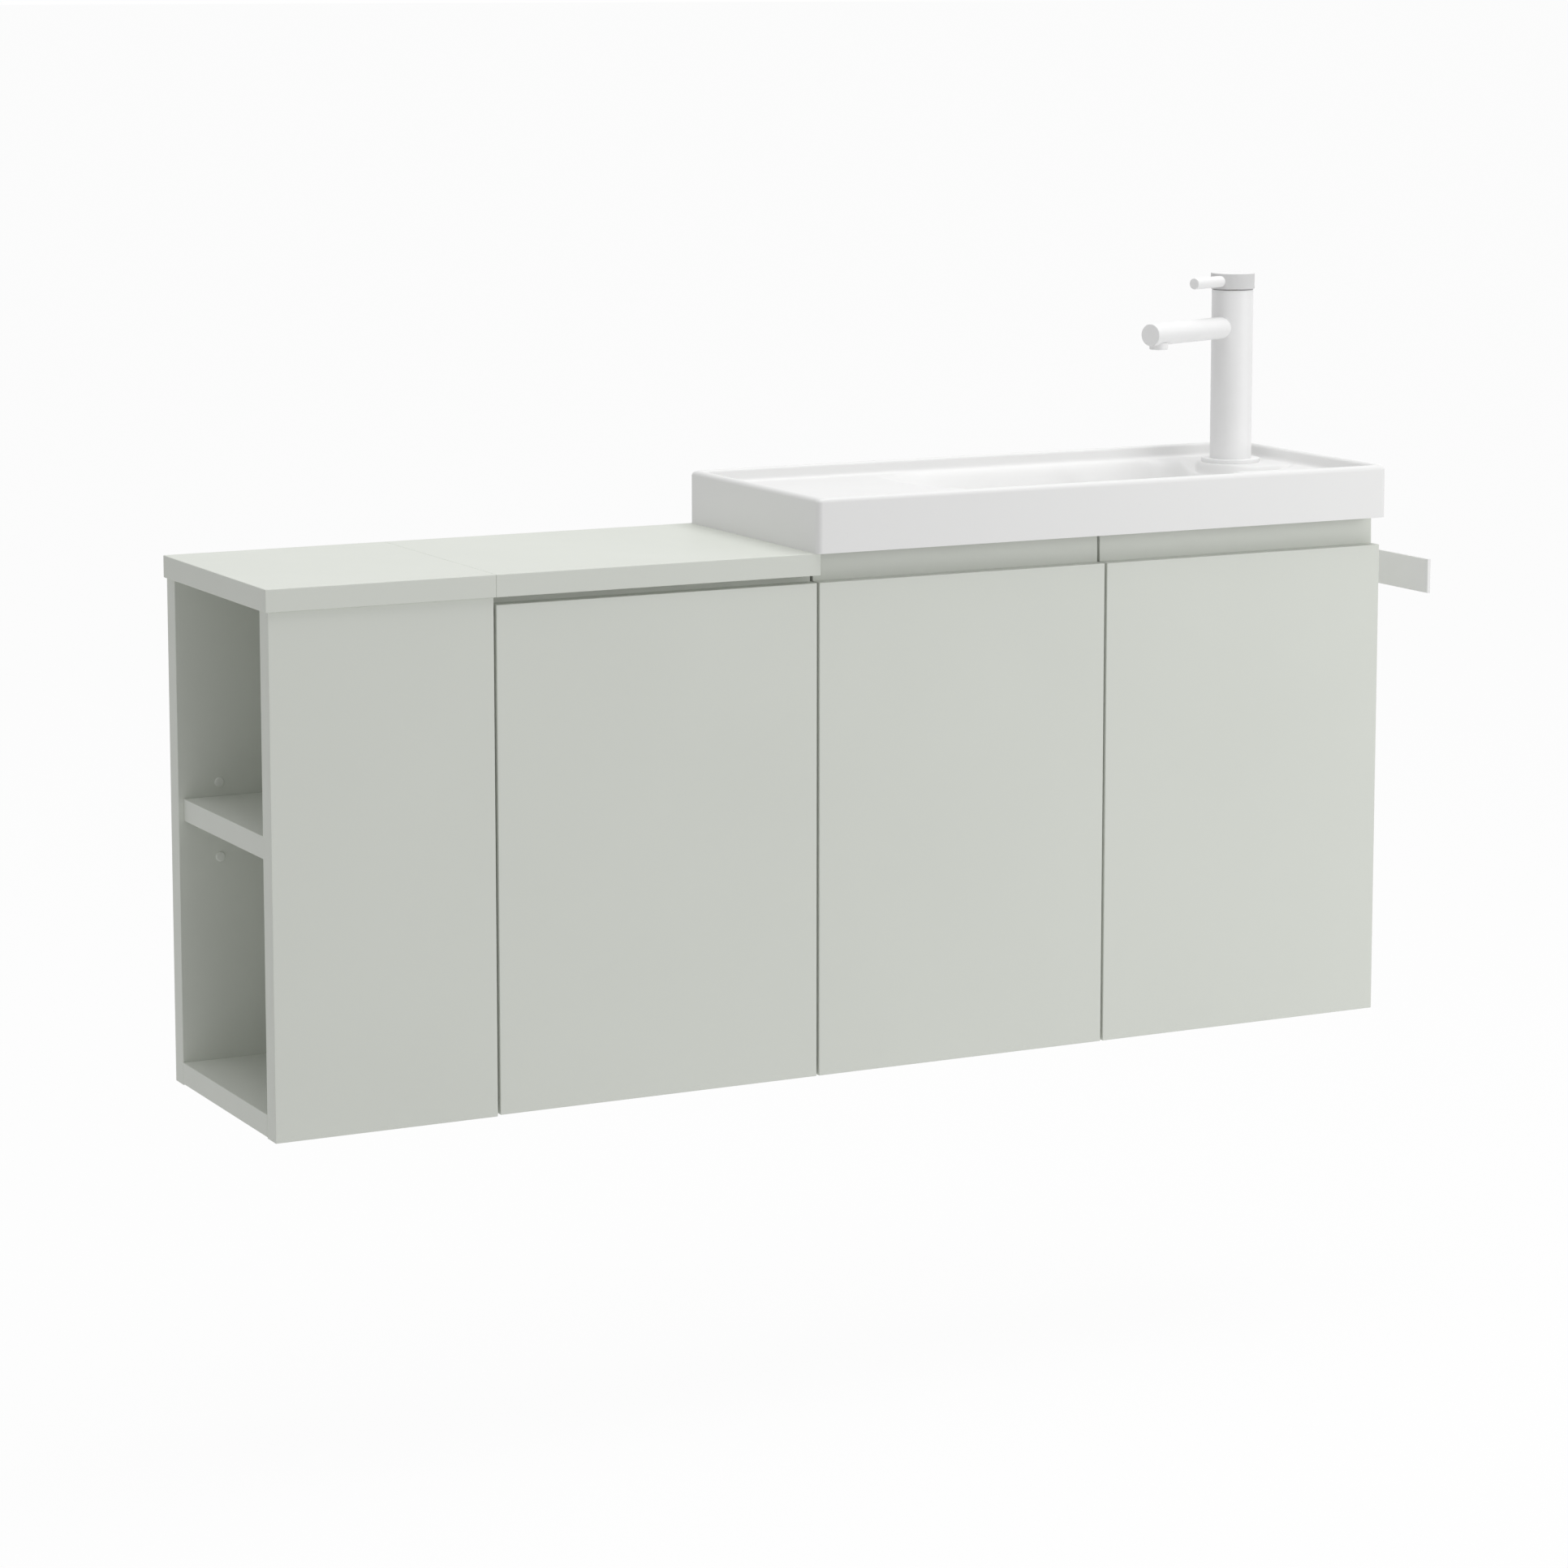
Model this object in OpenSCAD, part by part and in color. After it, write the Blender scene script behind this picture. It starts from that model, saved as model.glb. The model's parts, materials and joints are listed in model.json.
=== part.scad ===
// Wall-hung vanity unit: an open end cabinet, a middle bay with a door, and a two-door base under a
// shallow basin with a tap, joined in one row, with a flat towel rail on the right side.
// Millimetres. X runs right along the wall, Y runs into the wall (the wall face is Y = 0) and Z is up.
// The origin lies on the wall face, midway between the two wall screws of the basin's cabinet.

/* [End cabinet] */
// Width of the open end cabinet's front panel
end_w = 207.5; // [150:0.5:400]
// How far the shelf's edge lies behind the open left side
shelf_setback = 5; // [2:0.5:20]
// Height of the shelf's underside above the bottom of the cabinets
shelf_z = 242; // [150:1:300]
// Distance of the shelf pins from the open side
pin_inset = 39; // [25:1:60]
// Distance between the pin holes above and below the shelf
pin_pitch = 34; // [24:1:60]
// Diameter of the shelf pins
pin_d = 8; // [5:0.5:10]
// Depth of the pin holes
pin_depth = 9; // [6:0.5:12]
// How far the pins' middle lies below the shelf's underside
pin_drop = 1.5; // [0:0.5:2]

/* [Doors] */
// Width of the middle bay's door
middle_door_w = 312.5; // [200:0.5:450]
// Width of the right door under the basin
right_door_w = 302.5; // [285:0.5:340]
// Thickness of the doors
door_t = 20; // [18:0.5:24]
// Gap between neighbouring doors and panels
door_gap = 2.5; // [2:0.1:4]
// Gap between a closed door and the cabinet behind it
door_back_gap = 2; // [1.7:0.1:4]
// Depth of the finger recess along a door's top
grip_depth = 14; // [8:0.5:15]
// How far a door's front slab ends below the worktop's underside
slab_drop = 7; // [5:0.5:50]
// Gap between the top of a door's rear lip and what lies above it
lip_gap = 2; // [1:0.1:4]

/* [Boards] */
// Thickness of the boards
board_t = 20; // [18:0.5:22]
// Depth of the cabinets from the door fronts to the wall
depth = 253; // [245:1:300]
// Height of the cabinets up to the worktop's underside
carcass_h = 460; // [400:1:700]
// How far the bottom boards, sides and doors end above the outer panels' bottom edges
bottom_lift = 1; // [0:0.1:5]
// Height of the horizontal rails
rail_h = 80; // [60:1:90]
// Height of the front rail under the basin
front_rail_h = 40; // [30:1:60]
// Distance from the worktop's underside up to the front rail's top edge
front_rail_rise = 5; // [-20:1:10]
// Width and height of the worktop's cleat
cleat_w = 20; // [16:1:30]

/* [Worktop] */
// Thickness of the worktop
worktop_t = 20; // [16:0.5:30]
// Overhang of the worktop at the front and at the left end
worktop_overhang = 3; // [0:0.5:10]
// Gap between the worktop's right end and the basin cabinet
worktop_end_gap = 0.5; // [0.2:0.1:2]

/* [Basin] */
// Width of the basin
basin_w = 610; // [600:1:620]
// Overhang of the basin past the cabinet's left side
basin_left_overhang = 6; // [3:0.5:8]
// Overhang of the basin past the cabinet's right side
basin_right_overhang = 1.5; // [0:0.5:8]
// Overhang of the basin past the door fronts
basin_front_overhang = 8; // [4:0.5:20]
// Height of the basin's side walls
basin_h = 50; // [46:1:70]
// Thickness of the raised rim
rim_w = 8; // [6:0.5:14]
// Radius of the basin's vertical corners
basin_corner_r = 4; // [2:0.5:7]
// Thickness of the basin's floors and of the bowl's wall
basin_wall = 10; // [8:0.5:12]
// Width of the flat ledge, measured from the basin's left side
ledge_w = 212; // [180:1:225]
// Depth of the ledge below the rim
ledge_depth = 13; // [8:0.5:18]
// Depth of the floor round the bowl below the rim
floor_depth = 25; // [20:0.5:30]
// Depth of the tap's deck below the rim
deck_depth = 12.5; // [8:0.5:18]
// Radius of the deck round the tap
deck_r = 42; // [32:1:46]
// Distance of the bowl's centre from the basin's right side
bowl_from_right = 216; // [205:1:225]
// Distance of the bowl's centre from the basin's back
bowl_from_back = 47; // [44:1:52]
// Radius of the bowl's edge at the floor
bowl_edge_r = 192; // [170:1:195]
// Depth of the bowl below the floor
bowl_depth = 65; // [55:1:66]
// Radius of the bowl's steeper right end
bowl_end_r = 180; // [176:1:190]
// Distance of that right end from the basin's right side
bowl_end_gap = 86; // [82:1:95]
// Distance of the right end's centre from the basin's back
bowl_end_from_back = 86; // [70:1:100]

/* [Waste] */
// Distance of the waste from the basin's back
waste_from_back = 73; // [66:1:84]
// Radius of the waste's thread
waste_thread_r = 20.95; // [16:0.05:24]
// Radius of the waste's flange
waste_flange_r = 31.5; // [28:0.5:34]
// Thickness of the waste's flange
waste_flange_t = 2.5; // [2:0.5:4]
// Length of the waste below the bowl
waste_length = 70; // [40:1:80]
// Travel of the waste plug
plug_travel = 7; // [4:0.5:9]
// Radius of the plug's stem
plug_stem_r = 5; // [3:0.5:6]

/* [Tap] */
// Distance of the tap from the basin's right side
tap_from_right = 51; // [46:1:60]
// Distance of the tap from the basin's back
tap_from_back = 66; // [56:1:80]
// Diameter of the tap's body
tap_d = 40.6; // [36:0.1:46]
// Height of the tap above the deck
tap_h = 185.6; // [150:0.1:230]
// Height of the turning cap
cap_h = 15.6; // [12:0.1:20]
// Diameter of the turning cap
cap_d = 42.4; // [38:0.1:48]
// Gap between the body and the cap
cap_gap = 0.8; // [0.4:0.1:1.5]
// Diameter of the tap's base ring
ring_d = 57; // [50:0.5:70]
// Thickness of the tap's base ring
ring_t = 3; // [2:0.5:6]
// Diameter of the spout
spout_d = 21.3; // [16:0.1:25]
// Height of the spout's axis above the deck
spout_z = 132.5; // [90:0.5:140]
// Reach of the spout from the tap's axis
spout_reach = 138; // [100:1:180]
// Direction of the spout, turned forward from pointing left
spout_turn = 23; // [0:1:40]
// Diameter of the lever pin
lever_d = 11; // [7:0.5:12]
// Reach of the lever pin from the tap's axis
lever_reach = 66; // [45:1:90]
// Radius of the hole for the tap
tap_hole_r = 17.5; // [15:0.5:18]
// Radius of the tap's threaded tail
tail_r = 10.45; // [8:0.05:13]
// Length of the tail below the deck
tail_length = 62; // [50:1:90]

/* [Towel rail] */
// Height of the flat strip
strip_h = 33; // [20:1:50]
// Thickness of the flat strip
strip_t = 3.5; // [2.5:0.1:6]
// Distance from the cabinet's side to the strip's outer face
strip_reach = 62; // [45:1:90]
// Length of the rail from its rear arm to its free end
strip_run = 232; // [150:1:234]
// Distance of the rear arm from the wall
strip_from_wall = 18; // [10:1:30]
// Distance of the strip's upper edge below the worktop's underside
strip_drop = 25; // [5:1:150]
// Length of the foot that is screwed to the side
strip_foot = 46; // [36:1:60]

/* [Hinges] */
// Radius of the hinge cup
cup_r = 17.5; // [12:0.5:17.5]
// Depth of the hinge cup
cup_depth = 12; // [10:0.5:13]
// Distance of the cup's centre from the door's edge
cup_inset = 22.5; // [21:0.5:25]
// Height of the lower hinges above the bottom of the cabinets
hinge_low = 85; // [60:1:150]
// Distance of the upper hinges below the worktop's underside
hinge_drop = 95; // [80:1:160]
// Distance of the hinge plate's screws behind the cabinet's front edge
plate_inset = 37; // [32:1:45]

/* [Fastenings] */
// Distance between the wall screws of the basin's cabinet
wall_screws_basin = 480; // [300:1:520]
// Distance between the wall screws of the middle bay
wall_screws_middle = 200; // [100:1:220]
// Distance between the wall screws of the end cabinet
wall_screws_end = 320; // [200:1:380]
// Radius of the wall screws' holes
wall_hole_r = 4; // [3:0.5:5]
// Distance of the basin cabinet's wall screws below the worktop's underside
wall_screw_drop = 75; // [74:1:150]
// Diameter of the dowels
dowel_d = 8; // [6:0.5:10]
// Radius of the connecting cams
cam_r = 7.5; // [6:0.5:8]

/* [Hidden] */

$fn = 64;
eps = 0.01;
board_colour = [0.77, 0.78, 0.75];
steel_colour = [0.7, 0.71, 0.73];
brass_colour = [0.83, 0.69, 0.35];
plastic_colour = [0.83, 0.83, 0.83];
ceramic_colour = [0.95, 0.95, 0.94];
tap_colour = [0.93, 0.93, 0.93];
rubber_colour = [0.25, 0.25, 0.26];
wood_colour = [0.78, 0.66, 0.48];
strip_colour = [0.8, 0.8, 0.79];
cap_colour = [0.76, 0.77, 0.74];

// Clearances between pieces that fit into each other
fit_gap = 0.05;
touch_gap = 0.3;

// Heights, from the wall screws of the basin's cabinet
door_slab_h = carcass_h - slab_drop;
wall_screw_z = carcass_h - wall_screw_drop;
hinge_high = carcass_h - hinge_drop;
strip_z = carcass_h - strip_drop - strip_h;
bottom = -wall_screw_z;
lifted = bottom + bottom_lift;
under_top = bottom + carcass_h;
basin_z = under_top + worktop_t;
slab_top = bottom + door_slab_h;
pin_z = bottom + shelf_z - pin_drop;

// Depths
front = -depth;
door_back = front + door_t;
carcass_front = door_back + door_back_gap;
back_inner = -board_t;

// Widths, from the basin's cabinet in the middle of the frame to the left
base_w = basin_w - basin_left_overhang - basin_right_overhang;
left_door_w = base_w - door_gap - right_door_w;
base_l = -base_w / 2;
base_r = base_w / 2;
middle_r = base_l - door_gap;
middle_l = middle_r - middle_door_w;
end_r = middle_l - door_gap;
end_l = end_r - end_w;
seam_x = end_r + door_gap / 2;
left_door_r = base_l + left_door_w;
right_door_l = base_r - right_door_w;
pin_columns = [end_l + pin_inset, end_r - board_t - pin_inset + shelf_setback];

// Basin
basin_l = base_l - basin_left_overhang;
basin_r = basin_l + basin_w;
basin_front = front - basin_front_overhang;
rim_z = basin_z + basin_h;
ledge_z = rim_z - ledge_depth;
floor_z = rim_z - floor_depth;
deck_z = rim_z - deck_depth;
ledge_r = basin_l + ledge_w;
bowl_x = basin_r - bowl_from_right;
bowl_y = -bowl_from_back;
bowl_r = (bowl_edge_r * bowl_edge_r + bowl_depth * bowl_depth) / (2 * bowl_depth);
bowl_bottom = floor_z - bowl_depth;
bowl_end_x = basin_r - bowl_end_gap - bowl_end_r;
bowl_end_y = -bowl_end_from_back;
waste_x = bowl_x;
waste_y = -waste_from_back;
seat_r = waste_flange_r + 2;
seat_cut = 0.5;
seat_z = bowl_bottom - seat_cut;
boss_z = seat_z - basin_wall - seat_cut;
boss_r = seat_r + 4;
flange_z = seat_z + waste_flange_t;
seal_t = 5;
plug_head_t = 4;
web_h = 12;
web_z = boss_z - web_h - 2;

// Tap
tap_x = basin_r - tap_from_right;
tap_y = -tap_from_back;
ring_top = deck_z + ring_t;
cap_z = deck_z + tap_h - cap_h;
body_top = cap_z - cap_gap;
chamber_r = 14;
chamber_h = 24;
waterway_r = 7;
stem_r = 5;
tail_seat = 12;
tail_wall = 3;
deck_under = floor_z - basin_wall;
socket_in = waterway_r + 2;
aerator_r = 7.8;
aerator_inset = 13;
lever_seat = 9;
washer_t = 3;
washer_r = 21;

// Hinges: the side's inner face, measured from the door's hinged edge
base_face = board_t;
middle_face = board_t - door_gap;
flange_t = 1.2;
arm_w = 16;
arm_t = 12;
arm_length = 56;
plate_t = 4;
plate_w = 18;
plate_h = 48;
plate_pitch = 32;
plate_nose = 14;
plate_screw_r = 2.5;
plate_screw_l = 13;
hinge_heights = [bottom + hinge_low, bottom + hinge_high];

// Fastenings
pin_out = 8;
cap_in = 6;
cap_out = touch_gap - 0.1;
cap_ease = 0.4;
dowel_in_top = 12;
dowel_in_board = 20;
dowel_end = 30;
dowel_corner = 50;
dowel_span = 70;
dowel_front = 40;
cam_reach = 24;
cam_depth = 13;
cam_bolt_r = 3.5;
cam_bolt_in = 10;
cam_end = 40;
cam_corner = 60;
cam_low = 0.3;
cam_high = 0.8;
cam_in_rail = 15;
link_r = 3;
link_head_r = 7;
link_head_t = 2;
link_front = 80;
link_back = 40;
small_screw_r = 2;
small_head_r = 4;
small_head_t = 2;
cleat_screw_in = 14;
strip_screw_in = 15;
end_hole_x = (end_l + end_r - board_t) / 2 + 20;
end_hole_z = bottom + carcass_h / 2;
middle_hole_x = (end_r + base_l - board_t) / 2;
middle_hole_z = under_top - rail_h / 2;
rail_mid = under_top + front_rail_rise - front_rail_h / 2;

// Dowels that hold the worktop: the top edge's middle line of the boards below it
dowel_places = [
    [end_l + dowel_end, front + board_t / 2],
    [end_r - dowel_corner, front + board_t / 2],
    [end_l + dowel_end, -board_t / 2],
    [end_r - dowel_corner, -board_t / 2],
    [end_r - board_t / 2, front + dowel_span],
    [end_r - board_t / 2, -dowel_span],
    [end_r + cleat_w / 2, carcass_front + dowel_front],
    [end_r + cleat_w / 2, -dowel_span],
    [middle_l + dowel_span, -board_t / 2],
    [middle_r - dowel_span, -board_t / 2],
    [base_l - board_t / 2, carcass_front + dowel_front],
    [base_l - board_t / 2, -dowel_span]];

// Each cam: its place on the joint plane, the bolt's direction round Z and the roll of the cam's face
end_cams = [
    [[end_l + cam_end, front + board_t, lifted + board_t / 2], -90, 0],
    [[end_r - cam_corner, front + board_t, lifted + board_t / 2], -90, 0],
    [[end_l + cam_end, back_inner, lifted + board_t / 2], 90, 0],
    [[end_r - cam_corner, back_inner, lifted + board_t / 2], 90, 0],
    [[end_r - board_t, front + depth / 2, lifted + board_t / 2], 0, 0],
    [[end_r - board_t / 2, front + board_t, bottom + carcass_h * cam_low], -90, 90],
    [[end_r - board_t / 2, front + board_t, bottom + carcass_h * cam_high], -90, 90],
    [[end_r - board_t, -board_t / 2, bottom + carcass_h * cam_low], 0, 90],
    [[end_r - board_t, -board_t / 2, bottom + carcass_h * cam_high], 0, 90]];

middle_cams = [
    [[end_r, -board_t / 2, middle_hole_z], 180, -90],
    [[base_l - board_t, -board_t / 2, middle_hole_z], 0, 90]];

base_cams = [for (side = [0, 1], p = [
        [carcass_front + cam_corner, lifted + board_t / 2, 0],
        [-cam_corner, lifted + board_t / 2, 0],
        [carcass_front + board_t / 2, rail_mid, side == 0 ? -90 : 90],
        [-board_t / 2, -cam_in_rail, side == 0 ? 90 : -90]])
    [[side == 0 ? base_l + board_t : base_r - board_t, p[0], p[1]], side == 0 ? 180 : 0, p[2]]];

// A block between two opposite corners
module block(lo, hi) {
    translate(lo) cube(hi - lo);
}

// A round bar or hole along X, Y or Z that starts at a point
module bar_x(p, r, l) {
    translate(p) rotate([0, 90, 0]) cylinder(r = r, h = l);
}

module bar_y(p, r, l) {
    translate(p) rotate([-90, 0, 0]) cylinder(r = r, h = l);
}

module bar_z(p, r, l) {
    translate(p) cylinder(r = r, h = l);
}

module dowels(gap) {
    for (p = dowel_places)
        bar_z([p[0], p[1], under_top - dowel_in_board - gap], dowel_d / 2 + gap,
            dowel_in_board + dowel_in_top + 2 * gap);
}

// A cam fitting: the joint plane is X = 0, the bolt points into the panel at +X and the cam lies in the
// board at -X, let in from the board's lower face
module cam_fitting(gap) {
    union() {
        bar_x([-cam_reach, 0, 0], cam_bolt_r + gap, cam_reach + cam_bolt_in + gap);
        bar_z([-cam_reach, 0, -board_t / 2 - gap], cam_r + gap, cam_depth + 2 * gap);
    }
}

module place_cams(places, gap) {
    for (p = places)
        translate(p[0]) rotate([0, 0, p[1]]) rotate([p[2], 0, 0]) cam_fitting(gap);
}

// The rows of holes for the shelf's pins, in the front panel's and the back board's inner faces
module pin_holes() {
    for (x = pin_columns, k = [-1, 0, 1])
        translate([x, 0, pin_z + k * pin_pitch]) {
            bar_y([0, front + board_t - pin_depth, 0], pin_d / 2 + fit_gap, pin_depth + eps);
            bar_y([0, back_inner - eps, 0], pin_d / 2 + fit_gap, pin_depth + eps);
        }
}

// End cabinet
module end_front_panel() {
    color(board_colour) difference() {
        block([end_l, front, bottom], [end_r, front + board_t, under_top]);
        pin_holes();
        dowels(fit_gap);
        place_cams(end_cams, fit_gap);
    }
}

module end_back_board() {
    color(board_colour) difference() {
        block([end_l, back_inner, bottom], [end_r - board_t, 0, under_top]);
        pin_holes();
        dowels(fit_gap);
        place_cams(end_cams, fit_gap);
        for (k = [-1, 1])
            bar_y([end_hole_x, back_inner - eps, end_hole_z + k * wall_screws_end / 2],
                wall_hole_r, board_t + 2 * eps);
    }
}

module end_inner_side() {
    color(board_colour) difference() {
        block([end_r - board_t, front + board_t, lifted], [end_r, 0, under_top]);
        dowels(fit_gap);
        place_cams(end_cams, fit_gap);
        place_cams(middle_cams, fit_gap);
        cleat_screw_set(fit_gap);
    }
}

module end_bottom_board() {
    color(board_colour) difference() {
        block([end_l, front + board_t, lifted], [end_r - board_t, back_inner, lifted + board_t]);
        place_cams(end_cams, fit_gap);
    }
}

// The shelf's underside is grooved where it lies on its pins, so that it can't slide out
module end_shelf() {
    groove = pin_out + fit_gap;
    color(board_colour) difference() {
        block([end_l + shelf_setback, front + board_t + touch_gap, bottom + shelf_z],
            [end_r - board_t - touch_gap, back_inner - touch_gap, bottom + shelf_z + board_t]);
        for (x = pin_columns, y = [front + board_t, back_inner - groove])
            bar_y([x, y, pin_z], pin_d / 2 + fit_gap, groove);
    }
}

module shelf_pins() {
    color(steel_colour) for (x = pin_columns) {
        bar_y([x, front + board_t - pin_depth + fit_gap, pin_z], pin_d / 2, pin_depth + pin_out);
        bar_y([x, back_inner - pin_out, pin_z], pin_d / 2, pin_depth + pin_out - fit_gap);
    }
}

// Caps in the pin holes that no pin uses: short plugs, a hair proud of the board, with an eased rim
module pin_hole_caps() {
    rim = pin_d / 2;
    color(cap_colour) for (x = pin_columns, k = [-1, 1], side = [-1, 1])
        translate([x, side > 0 ? front + board_t : back_inner, pin_z + k * pin_pitch])
            rotate([-90 * side, 0, 0]) rotate_extrude()
                polygon([[0, -cap_in], [rim, -cap_in], [rim, cap_out - cap_ease],
                    [rim - cap_ease, cap_out], [0, cap_out]]);
}

// Worktop
module worktop_left() {
    color(board_colour) difference() {
        block([end_l - worktop_overhang, front - worktop_overhang, under_top], [seam_x, 0, basin_z]);
        dowels(fit_gap);
    }
}

module worktop_right() {
    color(board_colour) difference() {
        block([seam_x, front - worktop_overhang, under_top], [base_l - worktop_end_gap, 0, basin_z]);
        dowels(fit_gap);
    }
}

module worktop_cleat() {
    color(board_colour) difference() {
        block([end_r, carcass_front, under_top - cleat_w], [end_r + cleat_w, -board_t, under_top]);
        dowels(fit_gap);
        cleat_screw_set(fit_gap);
    }
}

module worktop_dowels() {
    color(wood_colour) dowels(0);
}

// Screws that go through the cleat into the end cabinet's inner side
module cleat_screw_set(gap) {
    for (y = [carcass_front + board_t, front + depth / 2, -2 * board_t])
        translate([end_r + cleat_w, y, under_top - cleat_w / 2]) rotate([0, -90, 0]) union() {
            cylinder(r = small_screw_r + gap, h = cleat_w + cleat_screw_in + gap);
            translate([0, 0, -gap]) cylinder(r = small_head_r + gap, h = small_head_t + 2 * gap);
        }
}

module cleat_screws() {
    color(steel_colour) cleat_screw_set(0);
}

// Middle bay
module middle_rear_rail() {
    color(board_colour) difference() {
        block([end_r, back_inner, under_top - rail_h], [base_l - board_t, 0, under_top]);
        dowels(fit_gap);
        place_cams(middle_cams, fit_gap);
        for (k = [-1, 1])
            bar_y([middle_hole_x + k * wall_screws_middle / 2, back_inner - eps, middle_hole_z],
                wall_hole_r, board_t + 2 * eps);
    }
}

module middle_right_side() {
    color(board_colour) difference() {
        block([base_l - board_t, carcass_front, lifted], [base_l, 0, under_top]);
        dowels(fit_gap);
        place_cams(middle_cams, fit_gap);
        link_set(fit_gap);
        hinge_screw_set(middle_r, -1, middle_face, fit_gap);
    }
}

// Bolts that link the middle bay's side to the basin cabinet's side
module link_set(gap) {
    low = bottom + hinge_low;
    places = [
        [carcass_front + link_front, low + link_back],
        [-link_back, low],
        [-link_back, low + carcass_h / 2]];
    for (p = places)
        translate([base_l - board_t, p[0], p[1]]) rotate([0, 90, 0]) union() {
            translate([0, 0, -link_head_t]) cylinder(r = link_r + gap, h = 2 * board_t + 2 * link_head_t);
            if (gap == 0) {
                translate([0, 0, -link_head_t]) cylinder(r = link_head_r, h = link_head_t);
                translate([0, 0, 2 * board_t]) cylinder(r = link_head_r, h = link_head_t);
            }
        }
}

module linking_bolts() {
    color(steel_colour) link_set(0);
}

// Basin cabinet
module base_left_side() {
    color(board_colour) difference() {
        block([base_l, carcass_front, lifted], [base_l + board_t, 0, basin_z]);
        place_cams(base_cams, fit_gap);
        link_set(fit_gap);
        hinge_screw_set(base_l, 1, base_face, fit_gap);
    }
}

module base_right_side() {
    color(board_colour) difference() {
        block([base_r - board_t, carcass_front, lifted], [base_r, 0, basin_z]);
        place_cams(base_cams, fit_gap);
        hinge_screw_set(base_r, -1, base_face, fit_gap);
        strip_screw_set(fit_gap);
    }
}

module base_bottom_board() {
    color(board_colour) difference() {
        block([base_l + board_t, carcass_front, lifted], [base_r - board_t, 0, lifted + board_t]);
        place_cams(base_cams, fit_gap);
    }
}

module base_front_rail() {
    color(board_colour) difference() {
        block([base_l + board_t, carcass_front, under_top + front_rail_rise - front_rail_h],
            [base_r - board_t, carcass_front + board_t, under_top + front_rail_rise]);
        place_cams(base_cams, fit_gap);
    }
}

module base_hanging_rail() {
    color(board_colour) difference() {
        block([base_l + board_t, back_inner, -rail_h / 2], [base_r - board_t, 0, rail_h / 2]);
        place_cams(base_cams, fit_gap);
        for (k = [-1, 1])
            bar_y([k * wall_screws_basin / 2, back_inner - eps, 0], wall_hole_r, board_t + 2 * eps);
    }
}

module cams_end_cabinet() {
    color(steel_colour) place_cams(end_cams, 0);
}

module cams_middle_bay() {
    color(steel_colour) place_cams(middle_cams, 0);
}

module cams_basin_cabinet() {
    color(steel_colour) place_cams(base_cams, 0);
}

// Soft buffers on the cabinet's front edges, which the closed doors meet
module door_buffers() {
    buffer_r = 4;
    buffer_t = door_back_gap - touch_gap;
    inset = 3 * buffer_r;
    places = [
        [end_r + cleat_w / 2 + door_gap, under_top - cleat_w / 2],
        [left_door_r - inset, rail_mid],
        [right_door_l + inset, rail_mid],
        [left_door_r - inset, lifted + board_t / 2],
        [right_door_l + inset, lifted + board_t / 2]];
    color(rubber_colour) for (p = places)
        bar_y([p[0], carcass_front - buffer_t, p[1]], buffer_r, buffer_t);
}

// A door: a full slab with a thinner rear lip along its top, and two cup holes along its hinged edge
module door_panel(x0, x1, hinge_x, inward, lip_top) {
    color(board_colour) difference() {
        union() {
            block([x0, front, lifted], [x1, door_back, slab_top]);
            block([x0, front + grip_depth, slab_top - eps], [x1, door_back, lip_top]);
        }
        for (z = hinge_heights)
            bar_y([hinge_x + inward * cup_inset, door_back - cup_depth, z], cup_r + fit_gap, cup_depth + eps);
    }
}

module door_middle() {
    door_panel(middle_l, middle_r, middle_r, -1, under_top - lip_gap);
}

module door_left() {
    door_panel(base_l, left_door_r, base_l, 1, basin_z - lip_gap);
}

module door_right() {
    door_panel(right_door_l, base_r, base_r, -1, basin_z - lip_gap);
}

// Hinge cups: a hollow cup let into the door, with a flange that carries two screws
module hinge_cup_pair(hinge_x, inward) {
    wing = 24;
    wing_r = 8;
    shell = 1.2;
    color(steel_colour) for (z = hinge_heights)
        translate([hinge_x + inward * cup_inset, door_back, z]) difference() {
            union() {
                bar_y([0, -cup_depth + fit_gap, 0], cup_r, cup_depth + flange_t - fit_gap);
                bar_y([0, 0, -wing], wing_r, flange_t);
                bar_y([0, 0, wing], wing_r, flange_t);
                block([-wing_r, 0, -wing], [wing_r, flange_t, wing]);
            }
            bar_y([0, -cup_depth + shell, 0], cup_r - shell, cup_depth + flange_t);
            for (k = [-1, 1])
                bar_y([0, -eps, k * wing], small_screw_r, flange_t + 2 * eps);
        }
}

module hinge_cups_middle() {
    hinge_cup_pair(middle_r, -1);
}

module hinge_cups_left() {
    hinge_cup_pair(base_l, 1);
}

module hinge_cups_right() {
    hinge_cup_pair(base_r, -1);
}

// What is drawn for a door that is hinged on its left, mirrored for one that is hinged on its right
module facing(inward) {
    if (inward < 0)
        mirror([1, 0, 0]) children();
    else
        children();
}

// Mounting plates on the side's inner face, and the arms clipped on them
module hinge_plate_pair(hinge_x, inward, face) {
    y = carcass_front + plate_inset;
    color(steel_colour) for (z = hinge_heights) translate([hinge_x, y, z]) facing(inward) difference() {
        union() {
            block([face, -plate_w / 2, -plate_h / 2], [face + plate_t / 2, plate_w / 2, plate_h / 2]);
            block([face, -plate_w / 2, -arm_w / 2], [face + plate_t, plate_w / 2 + plate_nose, arm_w / 2]);
        }
        for (k = [-1, 1])
            bar_x([face - eps, 0, k * plate_pitch / 2], plate_screw_r + fit_gap, plate_t + 2 * eps);
    }
}

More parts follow.
